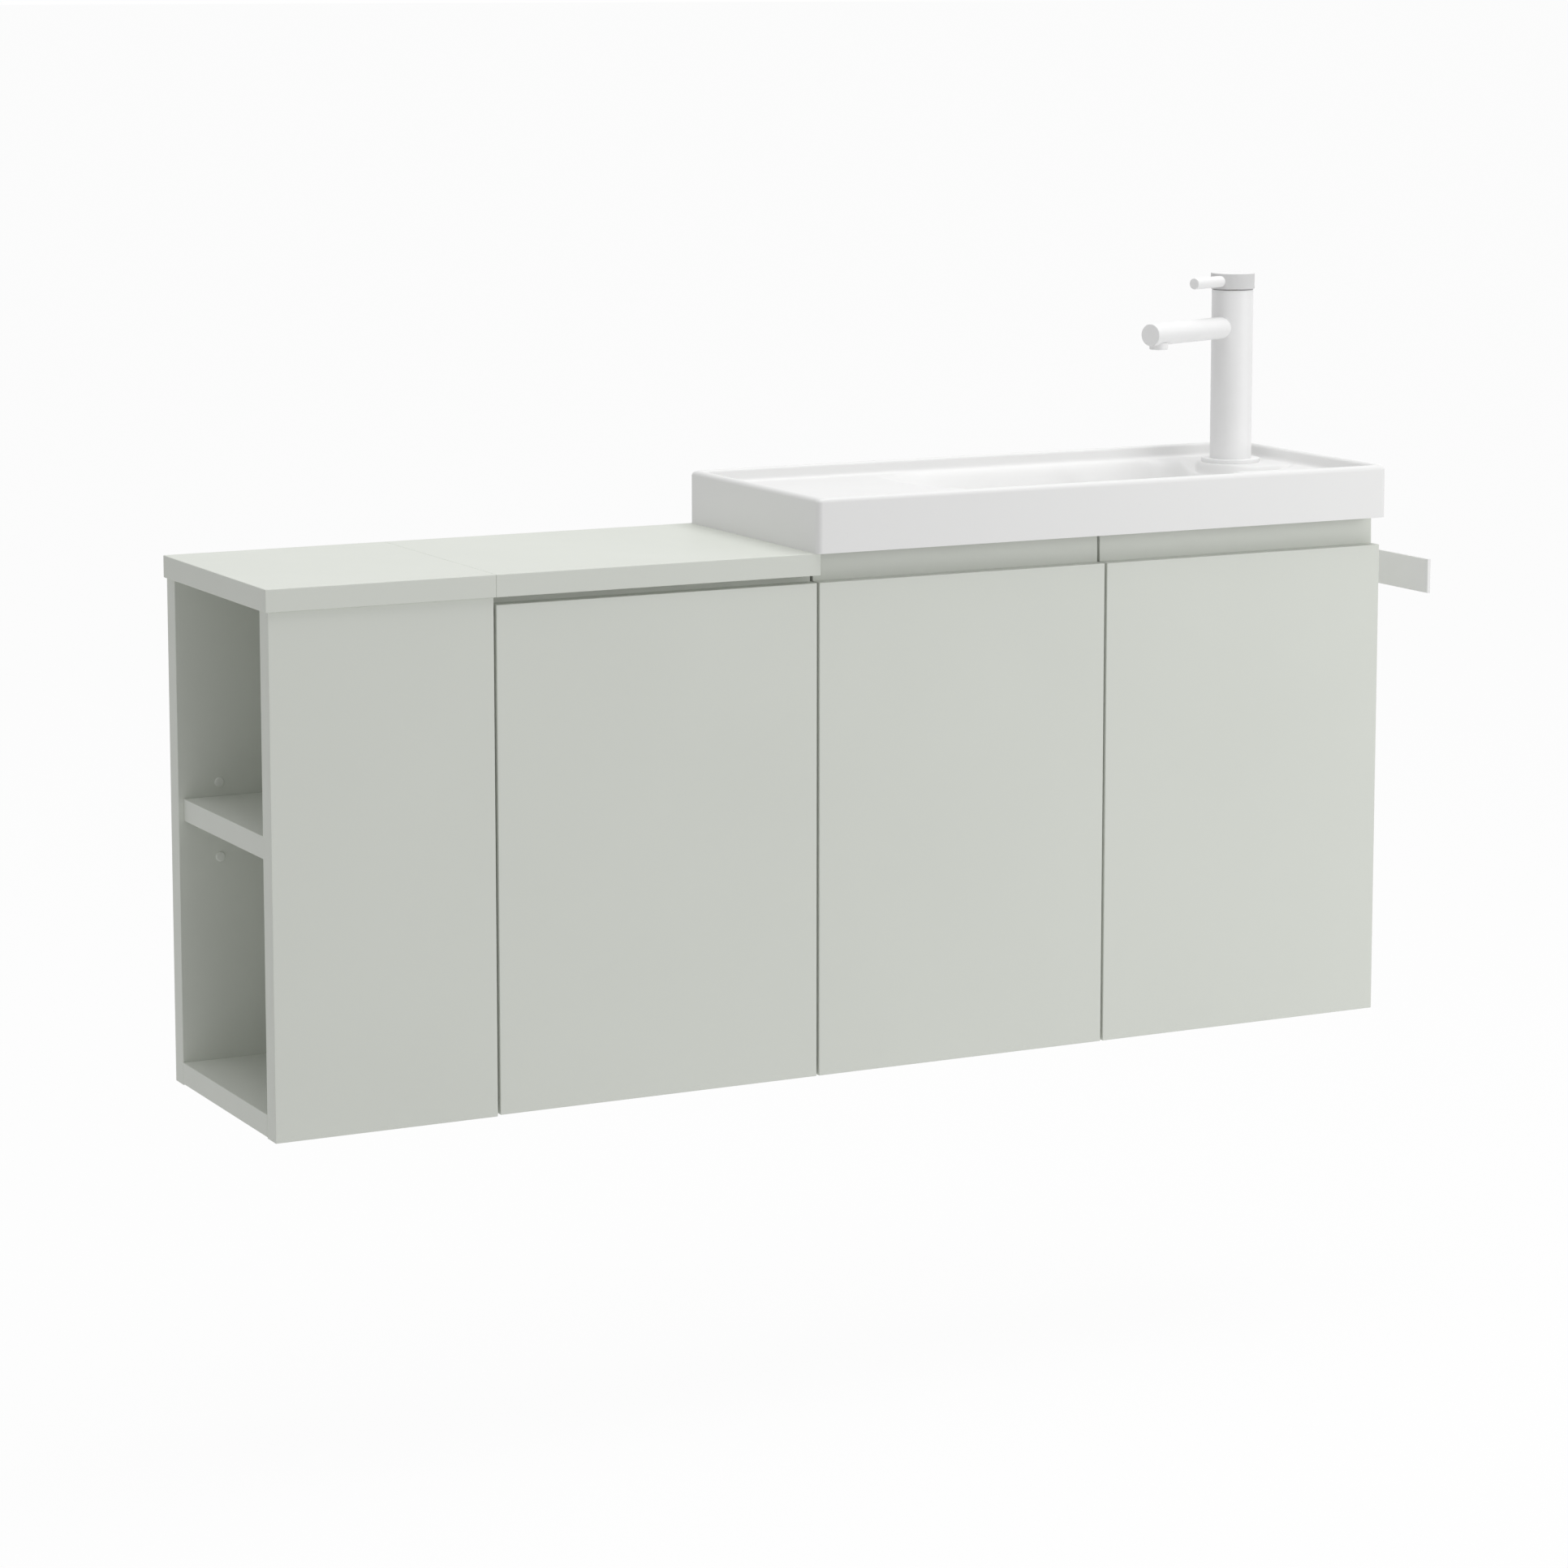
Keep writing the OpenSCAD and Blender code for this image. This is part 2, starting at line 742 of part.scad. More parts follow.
module hinge_arm_pair(hinge_x, inward, face) {
    wall = 1.5;
    solid_end = 16;
    slot_r = 3;
    slots = [26, 44];
    arm_start = door_back + flange_t + touch_gap;
    color(steel_colour) for (z = hinge_heights) translate([hinge_x, arm_start, z]) facing(inward)
        difference() {
            block([face + plate_t, 0, -arm_w / 2], [face + plate_t + arm_t, arm_length, arm_w / 2]);
            block([face + plate_t - eps, solid_end, -arm_w / 2 + wall],
                [face + plate_t + arm_t - wall, arm_length + eps, arm_w / 2 - wall]);
            for (y = slots)
                bar_x([face + plate_t, y, 0], slot_r, arm_t + 1);
        }
}

module hinge_screw_set(hinge_x, inward, face, gap) {
    x = hinge_x + inward * (face + plate_t / 2);
    y = carcass_front + plate_inset;
    for (z = hinge_heights, k = [-1, 1])
        translate([x, y, z + k * plate_pitch / 2]) rotate([0, -90 * inward, 0]) union() {
            cylinder(r = plate_screw_r + gap, h = plate_screw_l + gap);
            translate([0, 0, -small_head_t]) cylinder(r = small_head_r + gap, h = small_head_t);
        }
}

module hinge_plates_middle() {
    hinge_plate_pair(middle_r, -1, middle_face);
}

module hinge_plates_left() {
    hinge_plate_pair(base_l, 1, base_face);
}

module hinge_plates_right() {
    hinge_plate_pair(base_r, -1, base_face);
}

module hinge_arms_middle() {
    hinge_arm_pair(middle_r, -1, middle_face);
}

module hinge_arms_left() {
    hinge_arm_pair(base_l, 1, base_face);
}

module hinge_arms_right() {
    hinge_arm_pair(base_r, -1, base_face);
}

module hinge_plate_screws() {
    color(steel_colour) {
        hinge_screw_set(middle_r, -1, middle_face, 0);
        hinge_screw_set(base_l, 1, base_face, 0);
        hinge_screw_set(base_r, -1, base_face, 0);
    }
}

// Basin: the bowl's space, grown by the wall for its outer skin
module bowl_space(grow) {
    intersection() {
        translate([bowl_x, bowl_y, bowl_bottom + bowl_r]) sphere(r = bowl_r + grow, $fn = 128);
        bar_z([bowl_end_x, bowl_end_y, bowl_bottom - 2 * grow - 1], bowl_end_r + grow, rim_z - boss_z);
        block([basin_l, basin_front + rim_w - grow, bowl_bottom - 2 * grow - 1],
            [basin_r, -rim_w + min(grow, rim_w), floor_z]);
    }
}

// The raised deck round the tap, in the rear right corner
module deck_shape(grow) {
    union() {
        bar_z([tap_x, tap_y, basin_z - 1], deck_r - grow, basin_h + 2);
        block([tap_x, tap_y - deck_r + grow, basin_z - 1], [basin_r, 0, rim_z + 1]);
        block([tap_x - deck_r + grow, tap_y, basin_z - 1], [basin_r, 0, rim_z + 1]);
    }
}

module outer_block() {
    r = basin_corner_r;
    union() {
        block([basin_l + r, basin_front, basin_z], [basin_r - r, 0, rim_z]);
        block([basin_l, basin_front + r, basin_z], [basin_r, -r, rim_z]);
        for (x = [basin_l + r, basin_r - r], y = [basin_front + r, -r])
            bar_z([x, y, basin_z], r, basin_h);
    }
}

module basin() {
    in_front = basin_front + rim_w;
    color(ceramic_colour) difference() {
        union() {
            difference() {
                outer_block();
                difference() {
                    union() {
                        block([basin_l + rim_w, in_front, basin_z - 1],
                            [ledge_r - basin_wall, -rim_w, ledge_z - basin_wall]);
                        block([ledge_r - basin_wall - 1, in_front, basin_z - 1],
                            [basin_r - rim_w, -rim_w, floor_z - basin_wall]);
                    }
                    bowl_space(basin_wall);
                }
            }
            intersection() {
                bowl_space(basin_wall);
                block([basin_l, basin_front, boss_z - 1], [basin_r, 0, floor_z - 1]);
            }
            bar_z([waste_x, waste_y, boss_z], boss_r, basin_wall);
        }
        block([basin_l + rim_w, in_front, ledge_z], [ledge_r, -rim_w, rim_z + 1]);
        difference() {
            block([ledge_r - eps, in_front, floor_z], [basin_r - rim_w, -rim_w, rim_z + 1]);
            deck_shape(0);
        }
        intersection() {
            block([ledge_r, in_front, deck_z], [basin_r - rim_w, -rim_w, rim_z + 1]);
            deck_shape(0);
        }
        difference() {
            bowl_space(0);
            deck_shape(0);
        }
        bar_z([waste_x, waste_y, seat_z], seat_r, waste_flange_t + plug_head_t);
        bar_z([waste_x, waste_y, boss_z - 1], waste_thread_r + 1, basin_wall + waste_flange_t);
        bar_z([tap_x, tap_y, basin_z - 1], tap_hole_r, basin_h);
    }
}

// Waste
module waste_flange() {
    color(steel_colour) difference() {
        bar_z([waste_x, waste_y, seat_z], waste_flange_r, waste_flange_t);
        bar_z([waste_x, waste_y, seat_z - 1], waste_thread_r, waste_flange_t + 2);
    }
}

module waste_body() {
    tube_wall = 2.5;
    web_t = 3;
    top_z = flange_z - touch_gap;
    color(steel_colour) union() {
        difference() {
            bar_z([waste_x, waste_y, boss_z - waste_length], waste_thread_r, waste_length + top_z - boss_z);
            bar_z([waste_x, waste_y, boss_z - waste_length - 1], waste_thread_r - tube_wall,
                waste_length + top_z - boss_z + 2);
        }
        difference() {
            union() {
                for (a = [0, 60, 120])
                    translate([waste_x, waste_y, web_z]) rotate([0, 0, a])
                        translate([-waste_thread_r + tube_wall / 2, -web_t / 2, 0])
                            cube([2 * waste_thread_r - tube_wall, web_t, web_h]);
                bar_z([waste_x, waste_y, web_z], plug_stem_r + tube_wall, web_h);
            }
            bar_z([waste_x, waste_y, web_z - 1], plug_stem_r + fit_gap, web_h + 2);
        }
    }
}

module waste_seal() {
    color(rubber_colour) difference() {
        bar_z([waste_x, waste_y, boss_z - seal_t], seat_r - 1, seal_t);
        bar_z([waste_x, waste_y, boss_z - seal_t - 1], waste_thread_r + touch_gap, seal_t + 2);
    }
}

module waste_nut() {
    nut_h = 8;
    nut_wall = 5;
    wing_w = 5;
    wing_out = 3;
    nut_z = boss_z - seal_t - nut_h;
    color(plastic_colour) difference() {
        union() {
            bar_z([waste_x, waste_y, nut_z], waste_thread_r + nut_wall, nut_h);
            for (a = [0 : 45 : 315])
                translate([waste_x, waste_y, nut_z]) rotate([0, 0, a])
                    translate([waste_thread_r + wing_out - 1, -wing_w / 2, 0])
                        cube([nut_wall + 1, wing_w, nut_h]);
        }
        bar_z([waste_x, waste_y, nut_z - 1], waste_thread_r + fit_gap, nut_h + 2);
    }
}

module waste_plug() {
    head_z = flange_z + plug_travel + touch_gap;
    stem_end = web_z - plug_travel;
    color(steel_colour) union() {
        bar_z([waste_x, waste_y, head_z], waste_flange_r - 2, plug_head_t);
        bar_z([waste_x, waste_y, stem_end], plug_stem_r, head_z - stem_end + 1);
    }
}

// Tap: pieces that point along the spout start from the tap's axis
module along_spout(z) {
    translate([tap_x, tap_y, z]) rotate([0, 0, 180 + spout_turn]) children();
}

module spout_socket(gap) {
    along_spout(deck_z + spout_z) bar_x([socket_in, 0, 0], spout_d / 2 + gap, tap_d);
}

module tap_body() {
    color(tap_colour) difference() {
        bar_z([tap_x, tap_y, ring_top], tap_d / 2, body_top - ring_top);
        bar_z([tap_x, tap_y, ring_top - 1], tail_r + fit_gap, tail_seat + 1);
        bar_z([tap_x, tap_y, ring_top], waterway_r, body_top - ring_top);
        bar_z([tap_x, tap_y, body_top - chamber_h], chamber_r, chamber_h + 1);
        spout_socket(fit_gap);
        along_spout(deck_z + spout_z) bar_x([0, 0, 0], waterway_r, tap_d / 2);
    }
}

module tap_base_ring() {
    color(tap_colour) difference() {
        bar_z([tap_x, tap_y, deck_z], ring_d / 2, ring_t);
        bar_z([tap_x, tap_y, deck_z - 1], tail_r + fit_gap, ring_t + 2);
    }
}

module tap_spout() {
    end_t = 3;
    color(tap_colour) along_spout(deck_z + spout_z) difference() {
        bar_x([socket_in + fit_gap, 0, 0], spout_d / 2, spout_reach - socket_in - fit_gap);
        bar_x([0, 0, 0], waterway_r, spout_reach - end_t);
        bar_z([spout_reach - aerator_inset, 0, -spout_d], aerator_r + fit_gap, spout_d);
    }
}

module tap_aerator() {
    aerator_out = 3.5;
    aerator_wall = 1.2;
    aerator_recess = 1.5;
    color(tap_colour) along_spout(deck_z + spout_z) difference() {
        bar_z([spout_reach - aerator_inset, 0, -spout_d / 2 - aerator_out], aerator_r,
            aerator_out + spout_d / 2 - waterway_r - touch_gap);
        bar_z([spout_reach - aerator_inset, 0, -spout_d / 2 - aerator_out - 1], aerator_r - aerator_wall,
            aerator_recess + 1);
    }
}

module tap_cartridge() {
    color(plastic_colour) difference() {
        bar_z([tap_x, tap_y, body_top - chamber_h], chamber_r - fit_gap, chamber_h - 1);
        bar_z([tap_x, tap_y, body_top - chamber_h / 2], stem_r + fit_gap, chamber_h);
        bar_z([tap_x, tap_y, body_top - chamber_h - 1], waterway_r / 2, chamber_h / 3);
    }
}

module tap_stem() {
    color(brass_colour) bar_z([tap_x, tap_y, body_top - chamber_h / 2 + touch_gap], stem_r,
        chamber_h / 2 + cap_gap + cap_h / 3);
}

module tap_cap() {
    color(tap_colour) difference() {
        bar_z([tap_x, tap_y, cap_z], cap_d / 2, cap_h);
        bar_z([tap_x, tap_y, cap_z - 1], stem_r + fit_gap, cap_h / 3 + 1 + touch_gap + fit_gap);
        lever_bore(fit_gap);
    }
}

module lever_bore(gap) {
    along_spout(cap_z + cap_h / 2) bar_x([lever_seat, 0, 0], lever_d / 2 + gap, cap_d / 2);
}

module tap_lever() {
    color(tap_colour) along_spout(cap_z + cap_h / 2)
        bar_x([lever_seat + fit_gap, 0, 0], lever_d / 2, lever_reach - lever_seat - fit_gap);
}

module tap_tail() {
    tail_z = deck_z - tail_length;
    tail_h = tail_length + ring_t + tail_seat - fit_gap;
    color(brass_colour) difference() {
        bar_z([tap_x, tap_y, tail_z], tail_r, tail_h);
        bar_z([tap_x, tap_y, tail_z - 1], tail_r - tail_wall, tail_h + 2);
    }
}

module tap_washer() {
    color(rubber_colour) difference() {
        bar_z([tap_x, tap_y, deck_under - washer_t], washer_r, washer_t);
        bar_z([tap_x, tap_y, deck_under - washer_t - 1], tail_r + touch_gap, washer_t + 2);
    }
}

module tap_nut() {
    nut_h = 7;
    nut_wall = 6;
    nut_z = deck_under - washer_t - nut_h;
    color(brass_colour) difference() {
        translate([tap_x, tap_y, nut_z]) cylinder(r = tail_r + nut_wall, h = nut_h, $fn = 6);
        bar_z([tap_x, tap_y, nut_z - 1], tail_r + fit_gap, nut_h + 2);
    }
}

// Towel rail: one flat strip bent into a foot on the side, an arm and the rail itself
module towel_rail() {
    z0 = bottom + strip_z;
    z1 = z0 + strip_h;
    arm_y = -strip_from_wall;
    out = base_r + strip_reach;
    color(strip_colour) difference() {
        union() {
            block([base_r, arm_y - strip_foot, z0], [base_r + strip_t, arm_y, z1]);
            block([base_r, arm_y - strip_t, z0], [out, arm_y, z1]);
            block([out - strip_t, arm_y - strip_run, z0], [out, arm_y, z1]);
        }
        strip_screw_set(fit_gap);
    }
}

module strip_screw_set(gap) {
    edge = 2 * small_head_r + 1;
    z = bottom + strip_z + strip_h / 2;
    for (k = [2 * edge, strip_foot - edge])
        translate([base_r + strip_t, -strip_from_wall - k, z]) rotate([0, -90, 0]) union() {
            cylinder(r = small_screw_r + gap, h = strip_t + strip_screw_in + gap);
            translate([0, 0, -small_head_t]) cylinder(r = small_head_r + gap, h = small_head_t);
        }
}

module towel_rail_screws() {
    color(steel_colour) strip_screw_set(0);
}

end_front_panel();
end_back_board();
end_inner_side();
end_bottom_board();
end_shelf();
shelf_pins();
pin_hole_caps();
worktop_left();
worktop_right();
worktop_cleat();
worktop_dowels();
middle_rear_rail();
middle_right_side();
base_left_side();
base_right_side();
base_bottom_board();
base_front_rail();
base_hanging_rail();
cams_end_cabinet();
cams_middle_bay();
cams_basin_cabinet();
linking_bolts();
cleat_screws();
door_buffers();
door_middle();
door_left();
door_right();
hinge_cups_middle();
hinge_cups_left();
hinge_cups_right();
hinge_arms_middle();
hinge_arms_left();
hinge_arms_right();
hinge_plates_middle();
hinge_plates_left();
hinge_plates_right();
hinge_plate_screws();
basin();
waste_flange();
waste_body();
waste_seal();
waste_nut();
waste_plug();
tap_body();
tap_base_ring();
tap_spout();
tap_aerator();
tap_cartridge();
tap_stem();
tap_cap();
tap_lever();
tap_tail();
tap_washer();
tap_nut();
towel_rail();
towel_rail_screws();
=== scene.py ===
import json
import math
import bpy
import bmesh
from mathutils import Matrix, Vector


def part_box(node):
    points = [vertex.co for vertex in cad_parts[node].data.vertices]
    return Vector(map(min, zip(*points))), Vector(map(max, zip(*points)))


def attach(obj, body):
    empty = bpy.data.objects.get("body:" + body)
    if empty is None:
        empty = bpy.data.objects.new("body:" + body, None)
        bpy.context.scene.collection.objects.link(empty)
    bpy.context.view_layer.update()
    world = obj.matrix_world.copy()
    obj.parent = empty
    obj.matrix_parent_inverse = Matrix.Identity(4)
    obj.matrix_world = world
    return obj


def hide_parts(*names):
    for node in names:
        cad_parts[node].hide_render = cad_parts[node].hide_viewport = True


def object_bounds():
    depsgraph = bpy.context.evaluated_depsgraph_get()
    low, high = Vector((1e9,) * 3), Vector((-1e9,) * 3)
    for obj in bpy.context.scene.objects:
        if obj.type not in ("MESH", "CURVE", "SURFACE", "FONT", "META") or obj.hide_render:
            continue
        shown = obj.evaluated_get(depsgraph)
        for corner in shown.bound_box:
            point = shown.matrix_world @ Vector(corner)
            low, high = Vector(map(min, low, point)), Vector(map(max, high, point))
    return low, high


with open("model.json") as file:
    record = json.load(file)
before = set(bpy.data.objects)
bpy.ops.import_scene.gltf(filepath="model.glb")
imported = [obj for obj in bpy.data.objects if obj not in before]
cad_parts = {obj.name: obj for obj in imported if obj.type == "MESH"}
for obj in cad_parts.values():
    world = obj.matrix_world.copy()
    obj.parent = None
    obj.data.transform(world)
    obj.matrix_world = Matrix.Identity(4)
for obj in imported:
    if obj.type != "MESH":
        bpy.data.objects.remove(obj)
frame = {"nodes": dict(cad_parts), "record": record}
cad_low, cad_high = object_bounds()
MM = 0.001


# Sizes from the frame, in millimetres
def span(node, axis):
    """Where a CAD node begins and ends along an axis."""
    low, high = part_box(node)
    k = "XYZ".index(axis)
    return round(low[k] / MM, 3), round(high[k] / MM, 3)


def middle(node, axis):
    return round(sum(span(node, axis)) / 2, 3)


def radius_of(node, centre_x):
    """The radius of a CAD node that is round about an upright axis."""
    return round(span(node, "X")[1] - centre_x, 3)


BASIN_L, BASIN_R = span("basin", "X")
BASIN_FRONT, BASIN_BACK = span("basin", "Y")
BOSS_Z, RIM_Z = span("basin", "Z")
BASIN_Z = span("worktop_left", "Z")[1]

WASTE_X, WASTE_Y = middle("waste_plug", "X"), middle("waste_plug", "Y")
SEAT_Z, FLANGE_TOP = span("waste_flange", "Z")
FLANGE_R = radius_of("waste_flange", WASTE_X)
WASTE_R = radius_of("waste_body", WASTE_X)
PLUG_LOW, PLUG_TOP = span("waste_plug", "Z")
PLUG_R = radius_of("waste_plug", WASTE_X)

TAP_X, TAP_Y = middle("tap_body", "X"), middle("tap_body", "Y")
DECK_Z = span("tap_base_ring", "Z")[0]
RING_R = radius_of("tap_base_ring", TAP_X)
BODY_LOW, BODY_TOP = span("tap_body", "Z")
BODY_R = radius_of("tap_body", TAP_X)
CHAMBER_Z = span("tap_cartridge", "Z")[0]
TAIL_TOP = span("tap_tail", "Z")[1]
TAIL_R = radius_of("tap_tail", TAP_X)
STEM_TOP = span("tap_stem", "Z")[1]
STEM_R = radius_of("tap_stem", TAP_X)
CAP_LOW, CAP_TOP = span("tap_cap", "Z")
CAP_R = radius_of("tap_cap", TAP_X)
SPOUT_Z, LEVER_Z = middle("tap_spout", "Z"), middle("tap_cap", "Z")
SPOUT_R = round(span("tap_spout", "Z")[1] - SPOUT_Z, 3)
LEVER_R = round(LEVER_Z - span("tap_lever", "Z")[0], 3)


# Camera: at the photograph's angle, looking down a little, with a small downward shift
SENSOR, LENS, SHIFT = 36.0, 104.73, -0.12
CAMERA_SPOT = (-2.1720, -3.8417, 0.6149)
LOOKS_DOWN, LOOKS_RIGHT = 7.859, 27.08


def make_camera():
    data = bpy.data.cameras.new("camera")
    data.sensor_width = SENSOR
    data.lens = LENS
    data.shift_y = SHIFT
    camera = bpy.data.objects.new("camera", data)
    camera.location = CAMERA_SPOT
    camera.rotation_euler = (math.radians(90 - LOOKS_DOWN), 0.0, math.radians(-LOOKS_RIGHT))
    bpy.context.scene.collection.objects.link(camera)
    bpy.context.scene.camera = camera


# Shader maths
class Value:
    """A socket in a finish. Python's operators add the maths nodes for it."""

    def __init__(self, finish, socket):
        self.finish = finish
        self.socket = socket

    def __add__(self, other):
        return self.finish.maths("ADD", self, other)

    def __radd__(self, other):
        return self.finish.maths("ADD", other, self)

    def __sub__(self, other):
        return self.finish.maths("SUBTRACT", self, other)

    def __rsub__(self, other):
        return self.finish.maths("SUBTRACT", other, self)

    def __mul__(self, other):
        return self.finish.maths("MULTIPLY", self, other)

    def __rmul__(self, other):
        return self.finish.maths("MULTIPLY", other, self)

    def __gt__(self, other):
        return self.finish.maths("GREATER_THAN", self, other)

    def most(self, other):
        return self.finish.maths("MAXIMUM", self, other)


EVEN = (1.0, 1.0, 1.0)


class Finish:
    """A node tree that a material or the world is made of."""

    def __init__(self, tree):
        self.tree = tree

    def node(self, kind, settings=None, inputs=None, output=0):
        made = self.tree.nodes.new(kind)
        for key, value in (settings or {}).items():
            setattr(made, key, value)
        for key, value in (inputs or {}).items():
            self.put(made.inputs[key], value)
        return Value(self, made.outputs[output]) if len(made.outputs) else None

    def put(self, socket, value):
        if isinstance(value, Value):
            self.tree.links.new(value.socket, socket)
        else:
            socket.default_value = value

    def maths(self, operation, first, second=0.0):
        return self.node("ShaderNodeMath", {"operation": operation}, {0: first, 1: second})

    def spot(self):
        return self.node("ShaderNodeTexCoord", output="Object")

    def noise(self, per_metre, detail, stretch=EVEN):
        place = self.node("ShaderNodeMapping", {}, {"Vector": self.spot(), "Scale": stretch})
        inputs = {"Vector": place, "Scale": per_metre, "Detail": detail}
        return self.node("ShaderNodeTexNoise", {}, inputs, "Fac")

    def tone(self, amount, first, second):
        settings = {"data_type": "RGBA"}
        return self.node("ShaderNodeMix", settings, {0: amount, 6: first, 7: second}, 2)

    def relief(self, height, depth, strength):
        inputs = {"Height": height, "Distance": depth, "Strength": strength}
        return self.node("ShaderNodeBump", {}, inputs)


class Material(Finish):
    """A material with one main shader. Its fixed numbers are set on the shader's own sockets."""

    def __init__(self, name, fixed):
        self.material = bpy.data.materials.new(name)
        self.material.use_nodes = True
        super().__init__(self.material.node_tree)
        self.shader = self.tree.nodes["Principled BSDF"]
        for key, value in fixed.items():
            self.shader.inputs[key].default_value = value

    def set(self, key, value):
        self.put(self.shader.inputs[key], value)


def rgb(red, green, blue):
    return (red, green, blue, 1.0)


def shade(colour, factor):
    return rgb(*[min(1.0, c * factor) for c in colour[:3]])


WHITE = rgb(1.0, 1.0, 1.0)


# Finishes
def lacquered_board():
    """Matte lacquer on fibreboard: faint cloudy tone and a very fine orange-peel skin."""
    sage = rgb(0.73, 0.754, 0.70)
    m = Material("lacquered_board", {"Specular IOR Level": 0.35})
    cloud = m.noise(per_metre=5.0, detail=4.0)
    peel = m.noise(per_metre=700.0, detail=2.0)
    rub = m.noise(per_metre=38.0, detail=5.0)
    m.set("Base Color", m.tone(cloud, shade(sage, 0.975), shade(sage, 1.025)))
    m.set("Roughness", 0.47 + 0.12 * rub)
    m.set("Normal", m.relief(peel + 0.6 * rub, depth=0.00004, strength=0.5))
    return m.material


def glazed_ceramic():
    """White glaze: a satin gloss with a slow waviness and sparse pin-prick specks."""
    white = rgb(0.87, 0.87, 0.865)
    m = Material("glazed_ceramic", {"Coat Roughness": 0.2, "IOR": 1.45})
    wave = m.noise(per_metre=16.0, detail=2.0)
    prick = m.noise(per_metre=420.0, detail=1.0)
    specks = prick > 0.78
    m.set("Base Color", m.tone(specks * 0.35, white, shade(white, 0.9)))
    m.set("Roughness", 0.36 + 0.08 * wave)
    m.set("Coat Weight", 0.04 + 0.08 * wave)
    m.set("Normal", m.relief(wave + 0.012 * prick, depth=0.0006, strength=0.35))
    return m.material


def powder_coat(name, colour, roughness):
    """Powder coat: a fine pebbled skin with a little rub on it."""
    m = Material(name, {"Specular IOR Level": 0.4})
    pebble = m.noise(per_metre=1500.0, detail=2.0)
    rub = m.noise(per_metre=60.0, detail=4.0)
    m.set("Base Color", m.tone(rub, shade(colour, 0.985), shade(colour, 1.015)))
    m.set("Roughness", roughness + 0.1 * rub)
    m.set("Normal", m.relief(pebble + 0.4 * rub, depth=0.00003, strength=0.6))
    return m.material


def knurled_coat():
    """The tap cap's coat: white over fine upright ridges round its side, and plain on its flat top. Its side
    is painted darker than its top, and darkest in the grooves between the ridges, as painted shade.
    """
    white = rgb(0.90, 0.90, 0.90)
    ridge_count, ridge_depth, plain_from = 150.0, 0.00012, CAP_TOP - 0.7
    m = Material("white_knurled_coat", {"Specular IOR Level": 0.3})
    spot = m.spot()
    x, y, z = [m.node("ShaderNodeSeparateXYZ", {}, {0: spot}, axis) for axis in "XYZ"]
    turn = m.maths("ARCTAN2", y - TAP_Y * MM, x - TAP_X * MM)
    ridge = m.maths("SINE", turn * ridge_count)
    side = 1.0 - (z > plain_from * MM)
    grain = m.noise(per_metre=1500.0, detail=2.0)
    # Painted shade: the side is darker than the flat top, and darker still in each groove where the ridge is
    # low.
    m.set("Base Color", m.tone(side * (0.6 - 0.4 * ridge), white, shade(white, 0.8)))
    m.set("Roughness", 0.46 + 0.1 * grain)
    m.set("Normal", m.relief(side * ridge + 0.3 * grain, ridge_depth, strength=0.8))
    return m.material


def plated(name, colour, roughness, stretch):
    """Plated or polished metal: fine directional marks and cloudy wear."""
    m = Material(name, {"Metallic": 1.0})
    marks = m.noise(per_metre=260.0, detail=3.0, stretch=stretch)
    cloud = m.noise(per_metre=30.0, detail=4.0)
    m.set("Base Color", m.tone(cloud, shade(colour, 0.94), shade(colour, 1.04)))
    m.set("Roughness", roughness + 0.16 * (marks * cloud))
    m.set("Normal", m.relief(marks, depth=0.00002, strength=0.5))
    return m.material


def beech():
    """Raw beech: long fibres along the dowel with short dark flecks."""
    pale = rgb(0.68, 0.50, 0.32)
    m = Material("raw_beech", {"Roughness": 0.7})
    fibres = m.noise(per_metre=900.0, detail=3.0, stretch=(1.0, 1.0, 0.05))
    fleck_noise = m.noise(per_metre=420.0, detail=1.0, stretch=(1.0, 1.0, 0.2))
    flecks = fleck_noise > 0.66
    wood = m.tone(fibres, shade(pale, 0.82), shade(pale, 1.08))
    m.set("Base Color", m.tone(flecks * 0.4, wood, shade(pale, 0.6)))
    m.set("Normal", m.relief(fibres, depth=0.00006, strength=0.6))
    return m.material


def rubber(name, colour, roughness):
    """Moulded rubber or plastic: soft grain and a dusty bloom."""
    m = Material(name, {"Specular IOR Level": 0.35})
    grain = m.noise(per_metre=650.0, detail=2.0)
    bloom = m.noise(per_metre=45.0, detail=4.0)
    m.set("Base Color", m.tone(bloom, shade(colour, 0.9), shade(colour, 1.12)))
    m.set("Roughness", roughness + 0.15 * bloom)
    m.set("Normal", m.relief(grain, depth=0.00005, strength=0.5))
    return m.material


def make_finishes():
    """One finish for each material slot of the record."""
    return {
        "board": lacquered_board(),
        "steel": plated("zinc_plated_steel", rgb(0.44, 0.45, 0.465), 0.36, (1.0, 1.0, 0.12)),
        "dowel_wood": beech(),
        "cap_plastic": rubber("sage_cap", rgb(0.80, 0.82, 0.775), 0.34),
        "buffer": rubber("clear_buffer", rgb(0.66, 0.68, 0.68), 0.35),
        "glaze": glazed_ceramic(),
        "chrome_waste": plated("polished_chrome", rgb(0.58, 0.58, 0.60), 0.08, (1.0, 1.0, 0.3)),
        "seal": rubber("black_seal", rgb(0.035, 0.035, 0.036), 0.55),
        "nut_plastic": rubber("white_nut", rgb(0.84, 0.84, 0.83), 0.4),
        "tap_white": powder_coat("white_tap_coat", rgb(0.92, 0.92, 0.92), 0.36),
        "cartridge": rubber("grey_cartridge", rgb(0.55, 0.55, 0.56), 0.4),
        "brass_core": plated("machined_brass", rgb(0.74, 0.55, 0.26), 0.22, (1.0, 1.0, 6.0)),
        "strip_white": powder_coat("pale_strip_coat", rgb(0.88, 0.88, 0.875), 0.38),
    }


# Ways to make a piece
SHARP, WIDE_SHARP = 40, 50  # degrees between faces: above this an edge stays crisp
CAD_WELD, FINE_WELD = 1e-6, 1e-7  # metres


